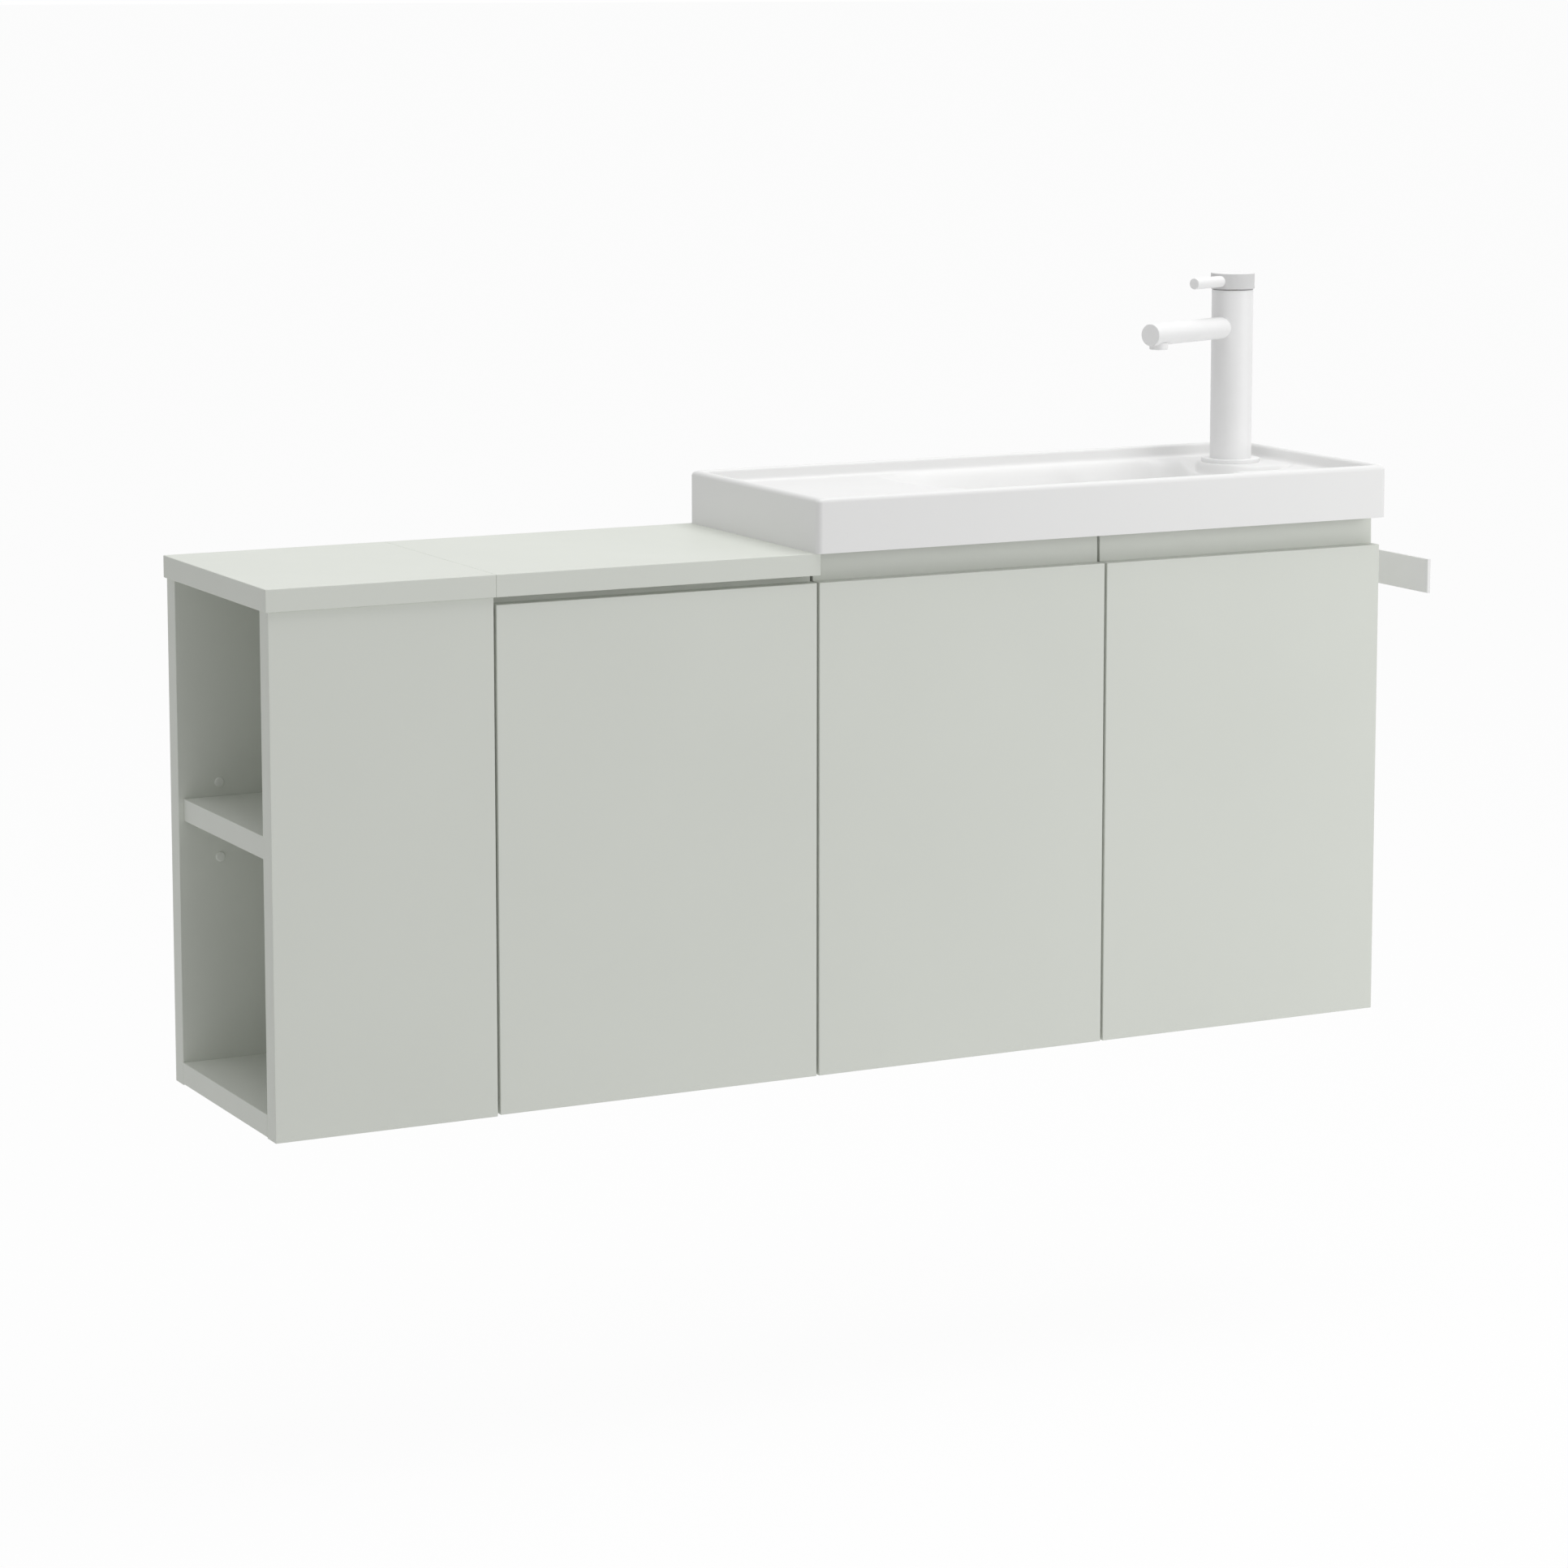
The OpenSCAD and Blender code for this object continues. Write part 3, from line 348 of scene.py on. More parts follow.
def body_of(node):
    for name, nodes in frame["record"]["behaviour"]["bodies"].items():
        if node in nodes:
            return name
    raise KeyError(node)


def slot_of(node):
    return next(p["material_slot"] for p in frame["record"]["subparts"] if p["node"] == node)


def weighted_normals(form, sharp_angle):
    """Normals for smooth shading that keep wide faces flat: each corner takes the mean of its near-level
    neighbours, weighted by their areas."""
    form.normal_update()
    limit = math.cos(math.radians(sharp_angle))
    areas = {face: face.calc_area() for face in form.faces}
    normals = []
    for face in form.faces:
        for loop in face.loops:
            mean = Vector()
            for near in loop.vert.link_faces:
                if near.normal.dot(face.normal) > limit:
                    mean += near.normal * areas[near]
            normals.append(mean.normalized() if mean.length > 0 else face.normal.copy())
    return normals


def stand_for(node, form, sharp_angle=SHARP, finish=None):
    """Makes a finished form the visible piece for a CAD node."""
    mesh = bpy.data.meshes.new(node + "_look")
    normals = weighted_normals(form, sharp_angle)
    form.to_mesh(mesh)
    form.free()
    for polygon in mesh.polygons:
        polygon.use_smooth = True
    mesh.normals_split_custom_set(normals)
    mesh.materials.append(finish or finishes[slot_of(node)])
    piece = bpy.data.objects.new(node + "_look", mesh)
    bpy.context.scene.collection.objects.link(piece)
    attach(piece, body_of(node))
    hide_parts(node)


def cad_form(node):
    """The CAD's own mesh of a node, welded."""
    form = bmesh.new()
    form.from_mesh(frame["nodes"][node].data)
    bmesh.ops.remove_doubles(form, verts=form.verts, dist=CAD_WELD)
    return form


def join_flat_faces(form):
    """Joins the triangles of each flat face into one face."""
    flat = math.radians(0.5)
    bmesh.ops.dissolve_limit(form, angle_limit=flat, verts=form.verts, edges=form.edges)


def ease_edges(form, edges, radius, segments=2, clamped=False):
    bmesh.ops.bevel(form, geom=edges, offset=radius * MM, offset_type="OFFSET", segments=segments,
                    profile=0.5, affect="EDGES", clamp_overlap=clamped)


def eased_board(node, radius):
    """A board as the CAD has it, holes and all, with its long outer edges eased by a small radius."""
    square = math.radians(80)
    shortest = 15 * MM
    form = cad_form(node)
    join_flat_faces(form)
    outer = [e for e in form.edges
             if len(e.link_faces) == 2 and e.is_convex
             and e.calc_face_angle() > square and e.calc_length() > shortest]
    ease_edges(form, outer, radius, segments=3, clamped=True)
    stand_for(node, form, WIDE_SHARP)


def round_corners(corners, steps=5):
    """A profile with rounded corners. A corner is (across, along), then its radius if it is rounded."""
    most_of_side = 0.49
    points = [Vector(corner[:2]) for corner in corners]
    line = []
    for i, here in enumerate(points):
        if len(corners[i]) == 2:
            line.append(here)
            continue
        radius = corners[i][2]
        before = points[i - 1] - here
        after = points[i + 1] - here
        half = before.angle(after) / 2
        reach = min(radius / math.tan(half), before.length * most_of_side, after.length * most_of_side)
        start = here + before.normalized() * reach
        end = here + after.normalized() * reach
        for k in range(steps + 1):
            t = k / steps
            line.append(start * (1 - t) ** 2 + here * 2 * t * (1 - t) + end * t ** 2)
    return line


def on_circle(radius, steps):
    """Points round a circle about the origin."""
    turns = [2 * math.pi * k / steps for k in range(steps)]
    return [(radius * math.cos(turn), radius * math.sin(turn)) for turn in turns]


def turned(corners, steps, place):
    """A form turned on a lathe round Z, from the corners of a profile of (radius, height) in millimetres."""
    form = bmesh.new()
    rings = []
    for radius, height in round_corners(corners):
        spots = on_circle(radius * MM, steps) if radius > 1e-6 else [(0.0, 0.0)]
        rings.append([form.verts.new((x, y, height * MM)) for x, y in spots])
    for lower, upper in zip(rings, rings[1:]):
        for k in range(steps):
            n = (k + 1) % steps
            around = [lower[k % len(lower)], lower[n % len(lower)],
                      upper[n % len(upper)], upper[k % len(upper)]]
            unique = list(dict.fromkeys(around))
            if len(unique) > 2:
                form.faces.new(unique)
    bmesh.ops.remove_doubles(form, verts=form.verts, dist=FINE_WELD)
    bmesh.ops.recalc_face_normals(form, faces=form.faces)
    form.transform(place)
    return form


def step(value, low, high):
    """Rises smoothly from 0 at the low end to 1 at the high end."""
    t = min(1.0, max(0.0, (value - low) / (high - low)))
    return t * t * (3 - 2 * t)


def soft_least(a, b, width):
    """The lesser of two heights, blended where they are nearer to each other than the width."""
    h = max(width - abs(a - b), 0.0) / width
    return min(a, b) - h * h * width / 4


def soft_most(a, b, width):
    return -soft_least(-a, -b, width)


# Basin, in millimetres. The bowl is part of a sphere, cut by a steep back and a steep round right end.
BASIN_WALL = 10.0
LEDGE_R = BASIN_L + 212.0
FLOOR_SUNK = 12.0
BOWL_EDGE_R, BOWL_DEPTH = 192.0, 65.0
BOWL_R = round((BOWL_EDGE_R ** 2 + BOWL_DEPTH ** 2) / (2 * BOWL_DEPTH), 2)
BOWL_X, BOWL_Y = BASIN_R - 216.0, BASIN_BACK - 47.0
BOWL_BOTTOM = SEAT_Z + 0.5
BACK_EDGE = BASIN_BACK - 15.0
END_R = 180.0
END_X, END_Y = BASIN_R - 86.0 - END_R, BASIN_BACK - 86.0
BOWL_SLOPE, BOWL_BLEND, WALL_LEAN = 2.4, 60.0, 0.8
# The raised round place that the tap stands on, and the scoop before it
PLATEAU_X, PLATEAU_Y, PLATEAU_R = TAP_X + 14.25, TAP_Y - 6.0, 46.0
SCOOP_X, SCOOP_Y, SCOOP_R, SCOOP_DEPTH = TAP_X - 13.75, TAP_Y - 26.0, 61.0, 10.0
# Where each slope begins and ends: the first two in X, then from the back, out from the plateau's edge,
# in from the scoop's edge and out from the waste's middle
LEDGE_SLOPE = (LEDGE_R - 4.0, LEDGE_R + 18.0)
DECK_SLOPE = (110.0, 205.0)
BACK_SLOPE = (8.0, 30.0)
PLATEAU_SLOPE = (-0.5, 5.5)
SCOOP_SLOPE = (-1.0, 24.0)
SEAT_SLOPE = (34.0, 56.0)
SEAT_RISE, FLOOR_BLEND = 0.1, 10.0
# The hollow underneath
CEILING_Z = RIM_Z - 23.0
CEILING_SLOPE = (LEDGE_R - BASIN_WALL - 1.0, LEDGE_R - BASIN_WALL + 1.0)
BOSS_SLOPE = (37.0, 62.0)
FOOT_EASE, FOOT_STEEP, CEILING_BLEND = 0.5, 0.6, 5.0
HOLE_R = 24.0
# The rim, and the rounding of the basin's upright corners
RIM_W = 8.0
OUTER_ROUND, INNER_ROUND, FILLET, WALL_SLOPE = 4.5, 3.0, 3.5, 0.4
CORNER_R, CORNER_GROWTH, CORNER_ZONE = 5.0, 0.5, 26.0
# Spacing of the lines that the basin is built on, and where the fine ones run: past a distance from its
# left side, and between two distances from its front
COARSE, MEDIUM, FINE = 6.0, 2.5, 1.3
FINE_PAST_LEFT = 495.0
FINE_FROM, FINE_TO = 108.0, 206.0


def bowl_skin(x, y, wall):
    """The bowl: a shallow dish that runs up smoothly into a steeper back and a steeper right end. With a
    wall's thickness it gives the outer skin."""
    out = min(math.hypot(x - BOWL_X, y - BOWL_Y), BOWL_R - 1)  # stays inside the sphere
    dish = BOWL_BOTTOM + BOWL_R - math.sqrt((BOWL_R + wall) ** 2 - out ** 2)
    past_back = y - BACK_EDGE - WALL_LEAN * wall
    short_of_end = END_R + WALL_LEAN * wall - math.hypot(x - END_X, y - END_Y)
    back = DECK_Z - wall + BOWL_SLOPE * past_back
    end = DECK_Z - wall - BOWL_SLOPE * short_of_end
    return soft_most(soft_most(dish, back, BOWL_BLEND), end, BOWL_BLEND)


def from_waste(x, y):
    return math.hypot(x - WASTE_X, y - WASTE_Y)


def floor_height(x, y):
    """What is inside the rim: ledge, sloping floor, bowl, tap deck and the scoop before the tap."""
    sunk = FLOOR_SUNK * step(x, *LEDGE_SLOPE) * (1 - step(x, *DECK_SLOPE))
    sunk *= step(-y, *BACK_SLOPE)
    past_plateau = math.hypot(x - PLATEAU_X, y - PLATEAU_Y) - PLATEAU_R
    in_scoop = SCOOP_R - math.hypot(x - SCOOP_X, y - SCOOP_Y)
    scoop = SCOOP_DEPTH * step(past_plateau, *PLATEAU_SLOPE) * step(in_scoop, *SCOOP_SLOPE)
    height = soft_least(DECK_Z - sunk - scoop, bowl_skin(x, y, 0), FLOOR_BLEND)
    seat = 1 - step(from_waste(x, y), *SEAT_SLOPE)
    return height * (1 - seat) + (SEAT_Z + SEAT_RISE) * seat


def basin_height(x, y, inset):
    """Height of the basin's upper side at a distance inside its outer edge."""
    if inset < OUTER_ROUND:
        return RIM_Z - OUTER_ROUND + math.sqrt(OUTER_ROUND ** 2 - (OUTER_ROUND - inset) ** 2)
    start = RIM_W - INNER_ROUND
    if inset < start:
        return RIM_Z
    if inset <= RIM_W:
        return RIM_Z - INNER_ROUND + math.sqrt(max(0.0, INNER_ROUND ** 2 - (inset - start) ** 2))
    floor = floor_height(x, y)
    foot = RIM_W + WALL_SLOPE
    if inset < foot:
        top = RIM_Z - INNER_ROUND
        low = floor + FILLET
        return top + (low - top) * (inset - RIM_W) / WALL_SLOPE
    if inset < foot + FILLET:
        return floor + FILLET - math.sqrt(FILLET ** 2 - (foot + FILLET - inset) ** 2)
    return floor


def basin_underside(x, y, inset):
    """The lower side: the walls' foot, then the hollow's ceiling, then the bowl's outer skin."""
    foot = RIM_W + FOOT_EASE
    if inset < foot:
        return BASIN_Z
    ceiling = CEILING_Z - FLOOR_SUNK * step(x, *CEILING_SLOPE)
    height = soft_least(ceiling, bowl_skin(x, y, BASIN_WALL), CEILING_BLEND)
    boss = 1 - step(from_waste(x, y), *BOSS_SLOPE)
    height = height * (1 - boss) + BOSS_Z * boss
    return height - (height - BASIN_Z) * (1 - step(inset, foot, foot + FOOT_STEEP))


def edge_lines():
    """Distances from the outer edge at which the basin's lines run close to it: one set for the outer
    rounding, the inner rounding and the fillet, then wider and wider apart."""
    arc = [OUTER_ROUND * (1 - math.cos(math.radians(a))) for a in range(0, 90, 16)]
    start = RIM_W - INNER_ROUND
    inner = [start + INNER_ROUND * math.sin(math.radians(a)) for a in (0, 18, 36, 54, 70, 82, 90)]
    foot = RIM_W + WALL_SLOPE
    fillet = [foot + FILLET * (1 - math.cos(math.radians(a))) for a in (0, 20, 40, 60, 80, 90)]
    past_fillet = [13.5, 16.0, 19.0, 22.5, CORNER_ZONE]
    return arc + [OUTER_ROUND] + inner + fillet + past_fillet


def grid_lines(length, bands):
    """Lines across the basin: close at its edges, and between them as each band (its end, spacing) says."""
    near = edge_lines()
    lines = list(near)
    for end, spacing in bands:
        start = lines[-1]
        count = max(1, round((end - start) / spacing))
        lines += [start + (end - start) * k / count for k in range(1, count + 1)]
    return lines[:-1] + [length - d for d in reversed(near)]


def rounded_spot(a, b, length, width):
    """Moves a grid point near a corner on to a rounded path, and gives its distance from the outer edge."""
    da = min(a, length - a)
    db = min(b, width - b)
    inset = min(da, db)
    radius = min(CORNER_R + CORNER_GROWTH * min(inset, RIM_W), CORNER_ZONE - inset)
    along = max(da, db) - inset
    if max(da, db) < CORNER_ZONE and along < radius:
        angle = (1 - along / radius) * math.pi / 4
        shorter = inset + radius - radius * math.cos(angle)
        longer = inset + radius - radius * math.sin(angle)
        da, db = (longer, shorter) if da >= db else (shorter, longer)
        a = da if a < length / 2 else length - da
        b = db if b < width / 2 else width - db
    return a, b, inset


def add_basin_sheet(form, height_at):
    """Adds one side of the basin, as rows of points that run from its front to its back."""
    length = BASIN_R - BASIN_L
    width = BASIN_BACK - BASIN_FRONT
    ledge_end = LEDGE_R - RIM_W - BASIN_L
    lines_x = grid_lines(length, [(ledge_end, COARSE), (FINE_PAST_LEFT, MEDIUM),
                                  (length - CORNER_ZONE, FINE)])
    lines_y = grid_lines(width, [(FINE_FROM, MEDIUM), (FINE_TO, FINE),
                                 (width - CORNER_ZONE, MEDIUM)])
    sheet = []
    for a in lines_x:
        row = []
        for b in lines_y:
            p, q, inset = rounded_spot(a, b, length, width)
            x = BASIN_L + p
            y = BASIN_FRONT + q
            row.append(form.verts.new((x * MM, y * MM, height_at(x, y, inset) * MM)))
        sheet.append(row)
    return sheet


def add_wall(form, sheets, start, end):
    """A face between the upper and the lower sheet, along one side of a cell."""
    upper, lower = [[sheet[i][j] for i, j in (start, end)] for sheet in sheets]
    form.faces.new(upper + lower[::-1])


def basin_form():
    """Two sheets on one grid, joined round the outer edge and round the waste's hole."""
    form = bmesh.new()
    sheets = [add_basin_sheet(form, basin_height), add_basin_sheet(form, basin_underside)]
    last_x = len(sheets[0]) - 1
    last_y = len(sheets[0][0]) - 1
    open_cells = {}
    for i in range(last_x):
        for j in range(last_y):
            corners = [(i, j), (i + 1, j), (i + 1, j + 1), (i, j + 1)]
            top, under = [[sheet[k][m] for k, m in corners] for sheet in sheets]
            if max(from_waste(v.co.x / MM, v.co.y / MM) for v in top) > HOLE_R:
                form.faces.new(top)
                form.faces.new(under[::-1])
            else:
                open_cells[i, j] = corners
    for (i, j), corners in open_cells.items():
        for k, beyond in enumerate([(i, j - 1), (i + 1, j), (i, j + 1), (i - 1, j)]):
            if beyond not in open_cells:
                add_wall(form, sheets, corners[k], corners[(k + 1) % 4])
    outer = [(i, 0) for i in range(last_x)] + [(last_x, j) for j in range(last_y)]
    outer += [(i, last_y) for i in range(last_x, 0, -1)] + [(0, j) for j in range(last_y, 0, -1)]
    for here, ahead in zip(outer, outer[1:] + outer[:1]):
        add_wall(form, sheets, ahead, here)
    return form


# Tap, in millimetres
SPOUT_REACH, LEVER_REACH, ARM_TURN, ARM_START = 138.0, 66.0, 203.0, 9.1
TAP_BORE_R, WATERWAY_R, CHAMBER_R = TAIL_R + 0.15, 7.0, 14.0
RING_LIP_LOW, RING_LIP_TOP, RING_LIP_R = BODY_LOW - 0.1, BODY_LOW + 0.8, BODY_R + 0.1
RIDGE = 0.2
AERATOR_R, AERATOR_BORE_R, AERATOR_H, AERATOR_SINK = 9.0, 7.4, 6.5, 1.5
AERATOR_DROP, AERATOR_FROM_TIP = 3.8, 14.0
TAP_SIDES, SPOUT_SIDES, LEVER_SIDES, AERATOR_SIDES = 96, 72, 56, 64


def along_arm(height):
    """The place of a form turned round Z that is laid along the tap's spout or lever."""
    lay = Matrix.Rotation(math.radians(ARM_TURN), 4, "Z") @ Matrix.Rotation(math.radians(90), 4, "Y")
    return Matrix.Translation((TAP_X * MM, TAP_Y * MM, height * MM)) @ lay


def pin_profile(radius, reach, rounding):
    """A round arm from inside the tap out to its rounded end."""
    return [(0.0, ARM_START), (radius, ARM_START), (radius, reach, rounding), (0.0, reach)]


def make_tap():
    upright = Matrix.Translation((TAP_X * MM, TAP_Y * MM, 0))
    ring = [(TAP_BORE_R, DECK_Z), (RING_R - 0.2, DECK_Z), (RING_R, DECK_Z + 0.4, 0.2),
            (RING_R, RING_LIP_TOP, 0.9), (RING_LIP_R, RING_LIP_TOP, 0.3), (RING_LIP_R, RING_LIP_LOW),
            (TAP_BORE_R, RING_LIP_LOW), (TAP_BORE_R, DECK_Z)]
    stand_for("tap_base_ring", turned(ring, TAP_SIDES, upright))
    waterway_low = TAIL_TOP + 0.05
    body = [(TAP_BORE_R, BODY_LOW), (BODY_R, BODY_LOW, 0.3), (BODY_R, BODY_TOP, 0.5),
            (CHAMBER_R, BODY_TOP, 0.3), (CHAMBER_R, CHAMBER_Z), (WATERWAY_R, CHAMBER_Z),
            (WATERWAY_R, waterway_low), (TAP_BORE_R, waterway_low), (TAP_BORE_R, BODY_LOW)]
    stand_for("tap_body", turned(body, TAP_SIDES, upright))
    stem_hole_top, stem_hole_r = STEM_TOP + 0.1, STEM_R + 0.2
    cap = [(0.0, stem_hole_top), (stem_hole_r, stem_hole_top), (stem_hole_r, CAP_LOW),
           (CAP_R + RIDGE, CAP_LOW, 0.6), (CAP_R + RIDGE, CAP_TOP, 0.8), (0.0, CAP_TOP)]
    stand_for("tap_cap", turned(cap, TAP_SIDES, upright), finish=knurled_coat())
    spout = pin_profile(SPOUT_R, SPOUT_REACH, 0.9)
    stand_for("tap_spout", turned(spout, SPOUT_SIDES, along_arm(SPOUT_Z)))
    lever = pin_profile(LEVER_R, LEVER_REACH, 1.1)
    stand_for("tap_lever", turned(lever, LEVER_SIDES, along_arm(LEVER_Z)))
    turn = math.radians(ARM_TURN)
    reach = SPOUT_REACH - AERATOR_FROM_TIP
    tip_x = TAP_X + reach * math.cos(turn)
    tip_y = TAP_Y + reach * math.sin(turn)
    tip = Matrix.Translation((tip_x * MM, tip_y * MM, 0))
    low = SPOUT_Z - SPOUT_R - AERATOR_DROP
    sieve, top = low + AERATOR_SINK, low + AERATOR_H
    aerator = [(0.0, sieve), (AERATOR_BORE_R, sieve, 0.3), (AERATOR_BORE_R, low, 0.3),
               (AERATOR_R, low, 0.6), (AERATOR_R, top, 0.2), (0.0, top)]
    stand_for("tap_aerator", turned(aerator, AERATOR_SIDES, tip))


# Waste, in millimetres
PLUG_STEM_R, PLUG_HEAD_H, WASTE_SIDES = 5.0, 4.0, 96


def make_waste():
    upright = Matrix.Translation((WASTE_X * MM, WASTE_Y * MM, 0))
    flange = [(WASTE_R, SEAT_Z), (FLANGE_R, SEAT_Z, 0.3), (FLANGE_R, FLANGE_TOP - 1.0, 1.0),
              (FLANGE_R - 2.5, FLANGE_TOP, 2.0), (WASTE_R + 1.05, FLANGE_TOP - 0.4, 1.0),
              (WASTE_R, FLANGE_TOP - 1.4, 0.4), (WASTE_R, SEAT_Z)]
    stand_for("waste_flange", turned(flange, WASTE_SIDES, upright))
    head_low = PLUG_TOP - PLUG_HEAD_H
    plug = [(0.0, PLUG_LOW), (PLUG_STEM_R, PLUG_LOW, 0.5), (PLUG_STEM_R, head_low, 1.0),
            (PLUG_R - 0.9, head_low, 0.4), (PLUG_R, head_low + 0.9, 0.4), (PLUG_R, PLUG_TOP - 1.7, 0.8),
            (PLUG_R - 2.5, PLUG_TOP - 0.7, 3.0), (14.0, PLUG_TOP - 0.15), (0.0, PLUG_TOP)]
    stand_for("waste_plug", turned(plug, WASTE_SIDES, upright))


# Towel rail, in millimetres
STRIP_T, STRIP_FOOT, STRIP_EASE, STRIP_END_EASE = 3.5, 46.0, 0.5, 0.35
BEND_R, BEND_STEPS = 5.0, 8


def bent_line(corners):
    """The strip's middle line, with a round bend at each inner corner."""
    corners = [Vector(corner) for corner in corners]
    line = [corners[0]]
    for last, here, following in zip(corners, corners[1:], corners[2:]):
        before = (last - here).normalized()
        after = (following - here).normalized()
        centre = here + (before + after) * BEND_R
        for k in range(BEND_STEPS + 1):
            angle = math.radians(90 * k / BEND_STEPS)
            line.append(centre - after * BEND_R * math.cos(angle) - before * BEND_R * math.sin(angle))
    return line + [corners[-1]]


def strip_section(low, high):
    """The strip's cross-section as (across, height), with its four edges eased."""
    section = []
    for side, up, turn in ((1, False, -90), (1, True, 0), (-1, True, 90), (-1, False, 180)):
        middle_x = side * (STRIP_T / 2 - STRIP_EASE)
        middle_z = high - STRIP_EASE if up else low + STRIP_EASE
        for k in range(4):
            angle = math.radians(turn + 30 * k)
            across = middle_x + STRIP_EASE * math.cos(angle)
            section.append((across, middle_z + STRIP_EASE * math.sin(angle)))
    return section


def make_strip():
    """The towel rail: one flat strip, bent twice with a small radius, its edges eased."""
    side, out = span("towel_rail", "X")
    free_end, arm = span("towel_rail", "Y")
    section = strip_section(*span("towel_rail", "Z"))
    half = STRIP_T / 2
    line = bent_line([(side + half, arm - STRIP_FOOT), (side + half, arm - half),
                      (out - half, arm - half), (out - half, free_end)])
    form = bmesh.new()
    rings = []
    for i, point in enumerate(line):
        ahead = line[min(i + 1, len(line) - 1)] - line[max(i - 1, 0)]
        across = Vector((ahead.y, -ahead.x)).normalized()
        ring = [form.verts.new(((point.x + across.x * s) * MM, (point.y + across.y * s) * MM, z * MM))
                for s, z in section]
        rings.append(ring)
    count = len(section)
    for one, two in zip(rings, rings[1:]):
        for k in range(count):
            n = (k + 1) % count
            form.faces.new([one[k], one[n], two[n], two[k]])
    form.faces.new(rings[0][::-1])
    form.faces.new(rings[-1])
    bmesh.ops.recalc_face_normals(form, faces=form.faces)
    ends = [e for e in form.edges if {len(f.verts) for f in e.link_faces} == {4, count}]
    ease_edges(form, ends, STRIP_END_EASE)
    stand_for("towel_rail", form)


# Fasteners. The cross recess is in shares of the head's radius and narrows as it goes down. The clearance
# above it, the eased edge and how round a head has to be are in millimetres.
CROSS_REACH, CROSS_HALF_WIDTH, CROSS_DEPTH = 0.62, 0.16, 0.4
CROSS_TOP_SCALE, CROSS_BOTTOM_SCALE, CROSS_CLEAR = 1.04, 0.66, 0.2
HEAD_EASE, ROUND_WITHIN, ROUND_SIDES = 0.35, 0.05, 12


def cross_cutter(form, centre, normal, radius):
    """Adds the tool that sinks a tapered cross into a fastener's head."""
    side = normal.orthogonal().normalized()
    up = normal.cross(side)
    reach = CROSS_REACH * radius
    half = CROSS_HALF_WIDTH * radius
    arms = [(reach, -half), (reach, half), (half, half), (half, reach), (-half, reach), (-half, half),
            (-reach, half), (-reach, -half), (-half, -half), (-half, -reach), (half, -reach), (half, -half)]
    rings = []
    levels = ((CROSS_CLEAR * MM, CROSS_TOP_SCALE), (-CROSS_DEPTH * radius, CROSS_BOTTOM_SCALE))
    for height, scale in levels:
        level = centre + normal * height
        rings.append([form.verts.new(level + (side * a + up * b) * scale) for a, b in arms])
    top, bottom = rings
    form.faces.new(top)
    form.faces.new(bottom[::-1])
    for k in range(len(arms)):
        n = (k + 1) % len(arms)
        form.faces.new([top[n], top[k], bottom[k], bottom[n]])


def to_scratch_mesh(form):
    mesh = bpy.data.meshes.new("scratch")
    form.to_mesh(mesh)
    form.free()
    return mesh


def cut_away(form, tool):
    """The form with the tool's shape taken out of it."""
    holders = []
    for shape in (form, tool):
        bmesh.ops.recalc_face_normals(shape, faces=shape.faces)
        holder = bpy.data.objects.new("scratch", to_scratch_mesh(shape))
        bpy.context.scene.collection.objects.link(holder)
        holders.append(holder)
    cut = holders[0].modifiers.new("cut", "BOOLEAN")
    cut.operation = "DIFFERENCE"
    cut.solver = "EXACT"
    cut.object = holders[1]
    result = bmesh.new()
    result.from_object(holders[0], bpy.context.evaluated_depsgraph_get())
    for holder in holders:
        bpy.data.objects.remove(holder)
    return result


def crossed_heads(node, least):
    """The fasteners as the CAD has them, with eased heads and a cross recess in each round end face whose
    radius is at least this."""
    form = cad_form(node)
    join_flat_faces(form)
    tool = bmesh.new()
    rims = set()
    for face in form.faces:
        centre = face.calc_center_median()
        reaches = [(v.co - centre).length for v in face.verts]
        is_round = len(reaches) >= ROUND_SIDES and max(reaches) - min(reaches) < ROUND_WITHIN * MM
        if is_round and min(reaches) > least * MM:
            cross_cutter(tool, centre, face.normal.copy(), max(reaches))
            rims.update(face.edges)
    ease_edges(form, list(rims), HEAD_EASE)
    stand_for(node, cut_away(form, tool))


# Pin hole caps, in millimetres. Heights are above the board's face.
PIN_STEM_DEPTH, PIN_STEM_SLACK, PIN_HEAD_OUT, PIN_HEAD_IN = 5.5, 0.3, 0.5, 0.6
PIN_HEAD_BACK, PIN_HEAD_EDGE, PIN_HEAD_SHOULDER, PIN_HEAD_TOP = -0.2, 0.5, 0.9, 1.1
PIN_SIDES = 40


def solid_boxes(node):
    """The lowest and highest corner of each separate solid in a CAD node, in the order of its vertices."""
    form = cad_form(node)
    boxes = []
    left = set(form.verts)
    for first in form.verts:
        if first not in left:
            continue
        left.remove(first)
        group = [first]
        for vert in group:
            joined = {edge.other_vert(vert) for edge in vert.link_edges} & left
            left -= joined
            group += joined
        low = Vector([min(v.co[i] for v in group) for i in range(3)])
        high = Vector([max(v.co[i] for v in group) for i in range(3)])
        boxes.append((low, high))
    form.free()
    return boxes


def pin_cap_profile(hole_r):
    """A cap's stem in the hole and its low domed head, from the inner end outward."""
    stem_r, head_r, shoulder_r = hole_r - PIN_STEM_SLACK, hole_r + PIN_HEAD_OUT, hole_r - PIN_HEAD_IN
    return [(0.0, -PIN_STEM_DEPTH), (stem_r, -PIN_STEM_DEPTH, 0.5), (stem_r, PIN_HEAD_BACK, 0.1),
            (head_r, PIN_HEAD_BACK), (head_r, PIN_HEAD_EDGE, 0.3), (shoulder_r, PIN_HEAD_SHOULDER, 1.5),
            (0.0, PIN_HEAD_TOP)]


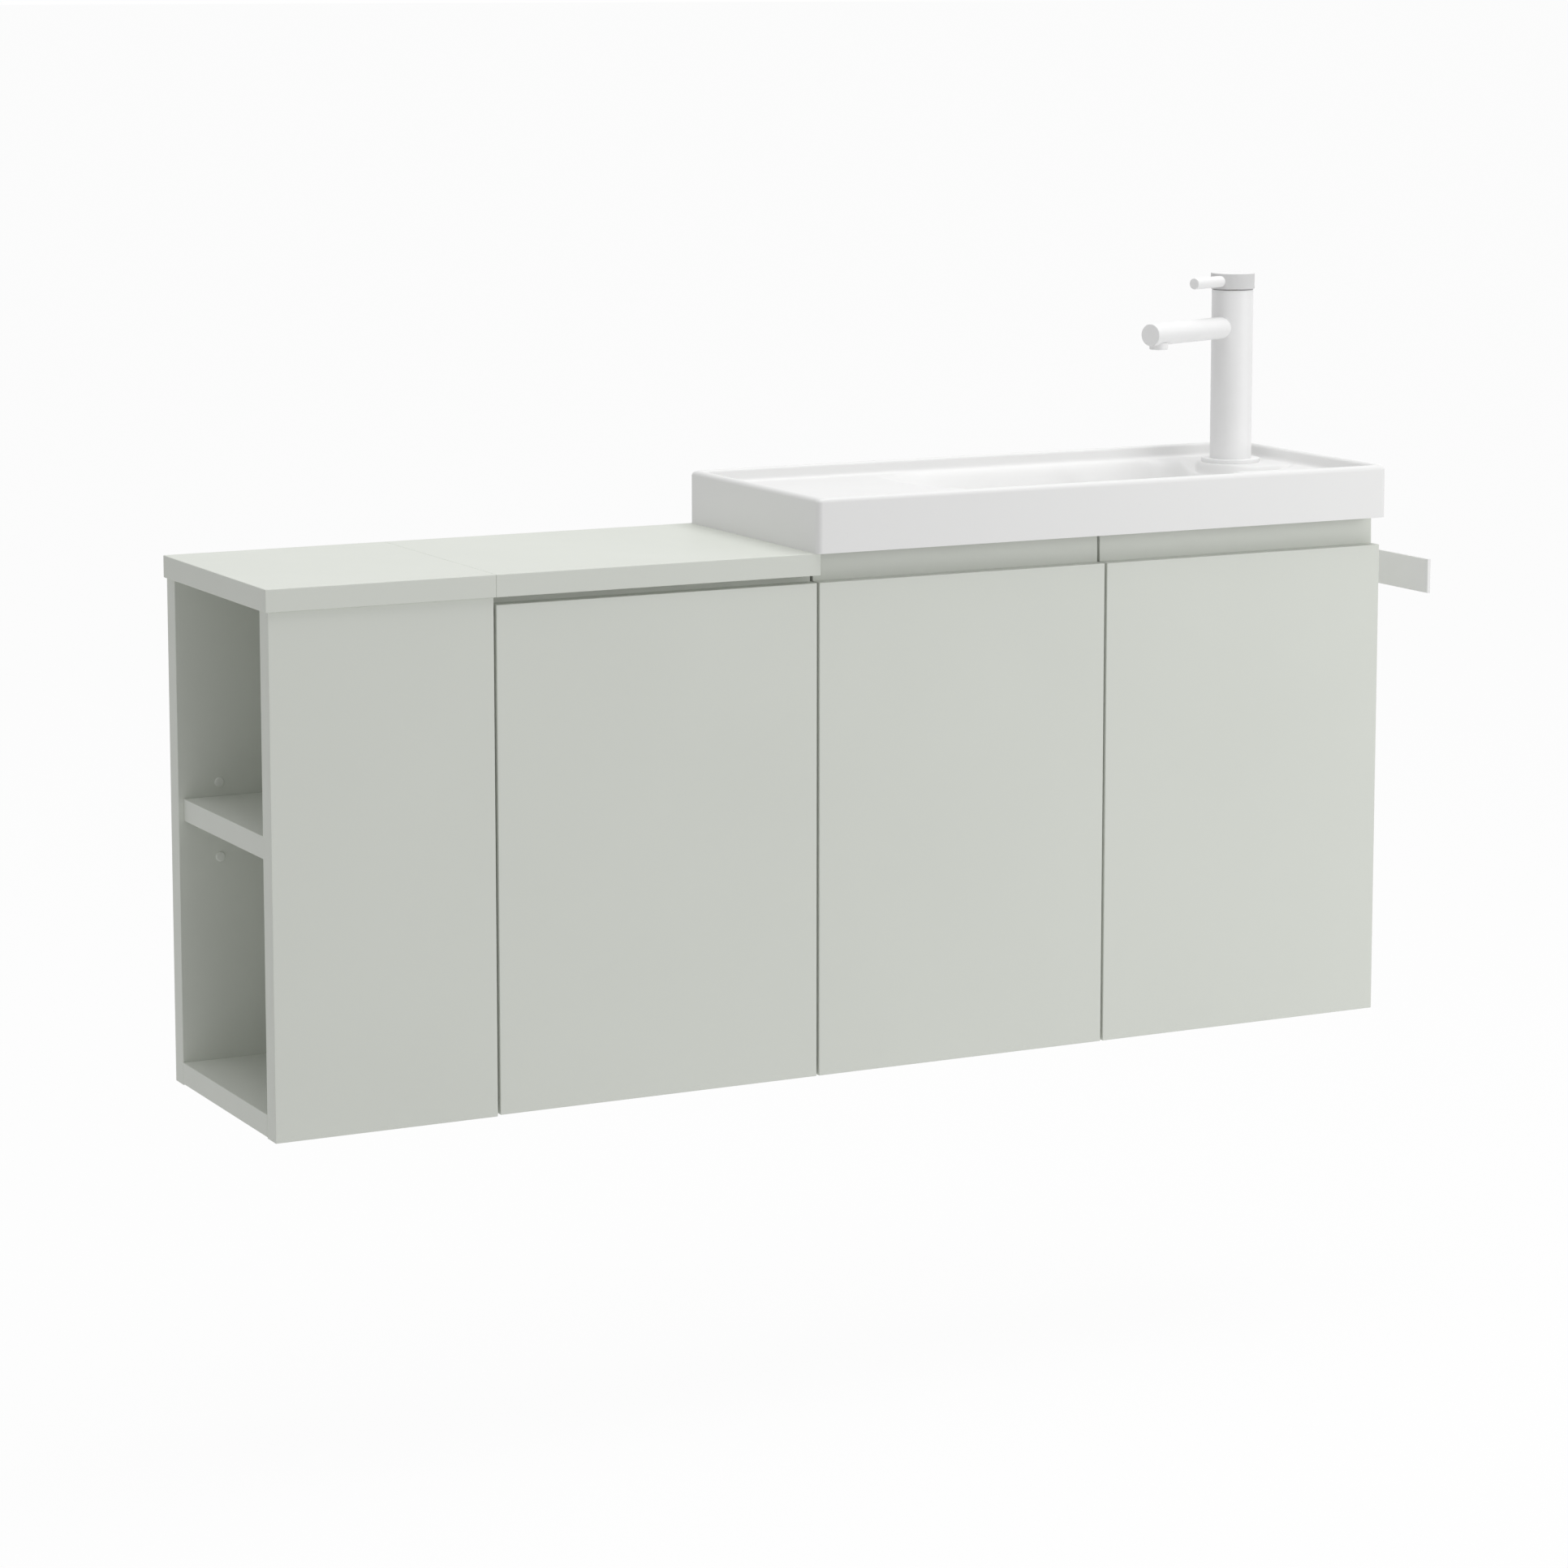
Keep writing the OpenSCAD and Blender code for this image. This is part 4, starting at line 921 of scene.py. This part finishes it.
def make_hole_caps():
    """The caps in the unused pin holes, each with its head on the board's face inside the cabinet."""
    boxes = solid_boxes("pin_hole_caps")
    middle_y = sum((low.y + high.y) / 2 for low, high in boxes) / len(boxes)
    caps = bmesh.new()
    for low, high in boxes:
        centre = (low + high) / 2
        into_bay = 1 if centre.y < middle_y else -1
        face = high.y if into_bay > 0 else low.y
        lay = Matrix.Rotation(math.radians(-90 * into_bay), 4, "X")
        place = Matrix.Translation((centre.x, face, centre.z)) @ lay
        hole_r = (high.x - low.x) / 2 / MM
        mesh = to_scratch_mesh(turned(pin_cap_profile(hole_r), PIN_SIDES, place))
        caps.from_mesh(mesh)
        bpy.data.meshes.remove(mesh)
    stand_for("pin_hole_caps", caps)


def dress_cad():
    """Gives every CAD node that stays visible its finish."""
    for part in frame["record"]["subparts"]:
        holder = frame["nodes"][part["node"]]
        for slot in holder.material_slots:
            slot.material = finishes[part["material_slot"]]


# Floor, light and background
FLOOR_HALF_SIZE, FLOOR_DROP = 150.0, 0.32
FLOOR_TONE, FLOOR_WHITE = 0.9, 0.95
ROOM_LIGHT = 0.437
# Each lamp: name, place, what it looks at, size, power
LAMPS = (
    ("overhead", (0.2, -0.6, 3.6), (0.0, -0.1, 0.0), (3.6, 2.6), 84),
    ("front_right", (1.7, -2.0, 0.4), (0.2, -0.1, -0.1), (1.2, 1.2), 15.2),
)


def seen(finish):
    """One where the camera, a reflection or a clear piece looks at the surface, and nought for its light."""
    rays = ("Is Camera Ray", "Is Glossy Ray", "Is Transmission Ray")
    direct, glossy, clear = [finish.node("ShaderNodeLightPath", output=ray) for ray in rays]
    return direct.most(glossy).most(clear)


def make_floor():
    form = bmesh.new()
    bmesh.ops.create_grid(form, x_segments=1, y_segments=1, size=FLOOR_HALF_SIZE)
    mesh = bpy.data.meshes.new("floor")
    form.to_mesh(mesh)
    form.free()
    floor = bpy.data.objects.new("floor", mesh)
    floor.location = (0.0, 0.0, round(cad_low[2] - FLOOR_DROP, 3))
    bpy.context.scene.collection.objects.link(floor)
    material = bpy.data.materials.new("pale_floor")
    material.use_nodes = True
    material.node_tree.nodes.clear()
    paint = Finish(material.node_tree)
    grey = rgb(FLOOR_TONE, FLOOR_TONE, FLOOR_TONE)
    matte = paint.node("ShaderNodeBsdfDiffuse", {}, {"Color": grey})
    white = paint.node("ShaderNodeEmission", {}, {"Color": WHITE, "Strength": 1.0})
    mixed = paint.node("ShaderNodeMixShader", {}, {0: seen(paint) * FLOOR_WHITE, 1: matte, 2: white})
    paint.node("ShaderNodeOutputMaterial", {}, {"Surface": mixed})
    mesh.materials.append(material)


def make_world():
    world = bpy.data.worlds.new("studio")
    bpy.context.scene.world = world
    world.use_nodes = True
    world.node_tree.nodes.clear()
    sky = Finish(world.node_tree)
    light = sky.node("ShaderNodeBackground", {}, {"Color": WHITE, "Strength": ROOM_LIGHT})
    white = sky.node("ShaderNodeBackground", {}, {"Color": WHITE, "Strength": 1.0})
    mixed = sky.node("ShaderNodeMixShader", {}, {0: seen(sky), 1: light, 2: white})
    sky.node("ShaderNodeOutputWorld", {}, {"Surface": mixed})


def softbox(name, spot, target, size, power):
    data = bpy.data.lights.new(name, "AREA")
    data.shape = "RECTANGLE"
    data.size, data.size_y = size
    data.energy = power
    lamp = bpy.data.objects.new(name, data)
    lamp.location = spot
    aim = Vector(target) - Vector(spot)
    lamp.rotation_euler = aim.to_track_quat("-Z", "Y").to_euler()
    bpy.context.scene.collection.objects.link(lamp)


BOARD_EASE = 0.7
BOARDS = ("end_front_panel", "end_back_board", "end_inner_side", "end_bottom_board", "end_shelf",
          "worktop_left", "worktop_right", "worktop_cleat", "middle_rear_rail", "middle_right_side",
          "base_left_side", "base_right_side", "base_bottom_board", "base_front_rail",
          "base_hanging_rail", "door_middle", "door_left", "door_right")
# Fasteners with a cross recess, each with the least radius of a head that gets one
CROSSED = (("cams_end_cabinet", 6.0), ("cams_middle_bay", 6.0), ("cams_basin_cabinet", 6.0),
           ("linking_bolts", 5.5), ("cleat_screws", 3.2), ("hinge_plate_screws", 3.2),
           ("towel_rail_screws", 3.2))

bpy.context.scene.view_settings.view_transform = "Standard"
make_camera()
finishes = make_finishes()
dress_cad()
for board in BOARDS:
    eased_board(board, BOARD_EASE)
stand_for("basin", basin_form(), WIDE_SHARP)
make_tap()
make_waste()
make_strip()
make_hole_caps()
for fasteners, least_head in CROSSED:
    crossed_heads(fasteners, least_head)
make_floor()
make_world()
for lamp in LAMPS:
    softbox(*lamp)
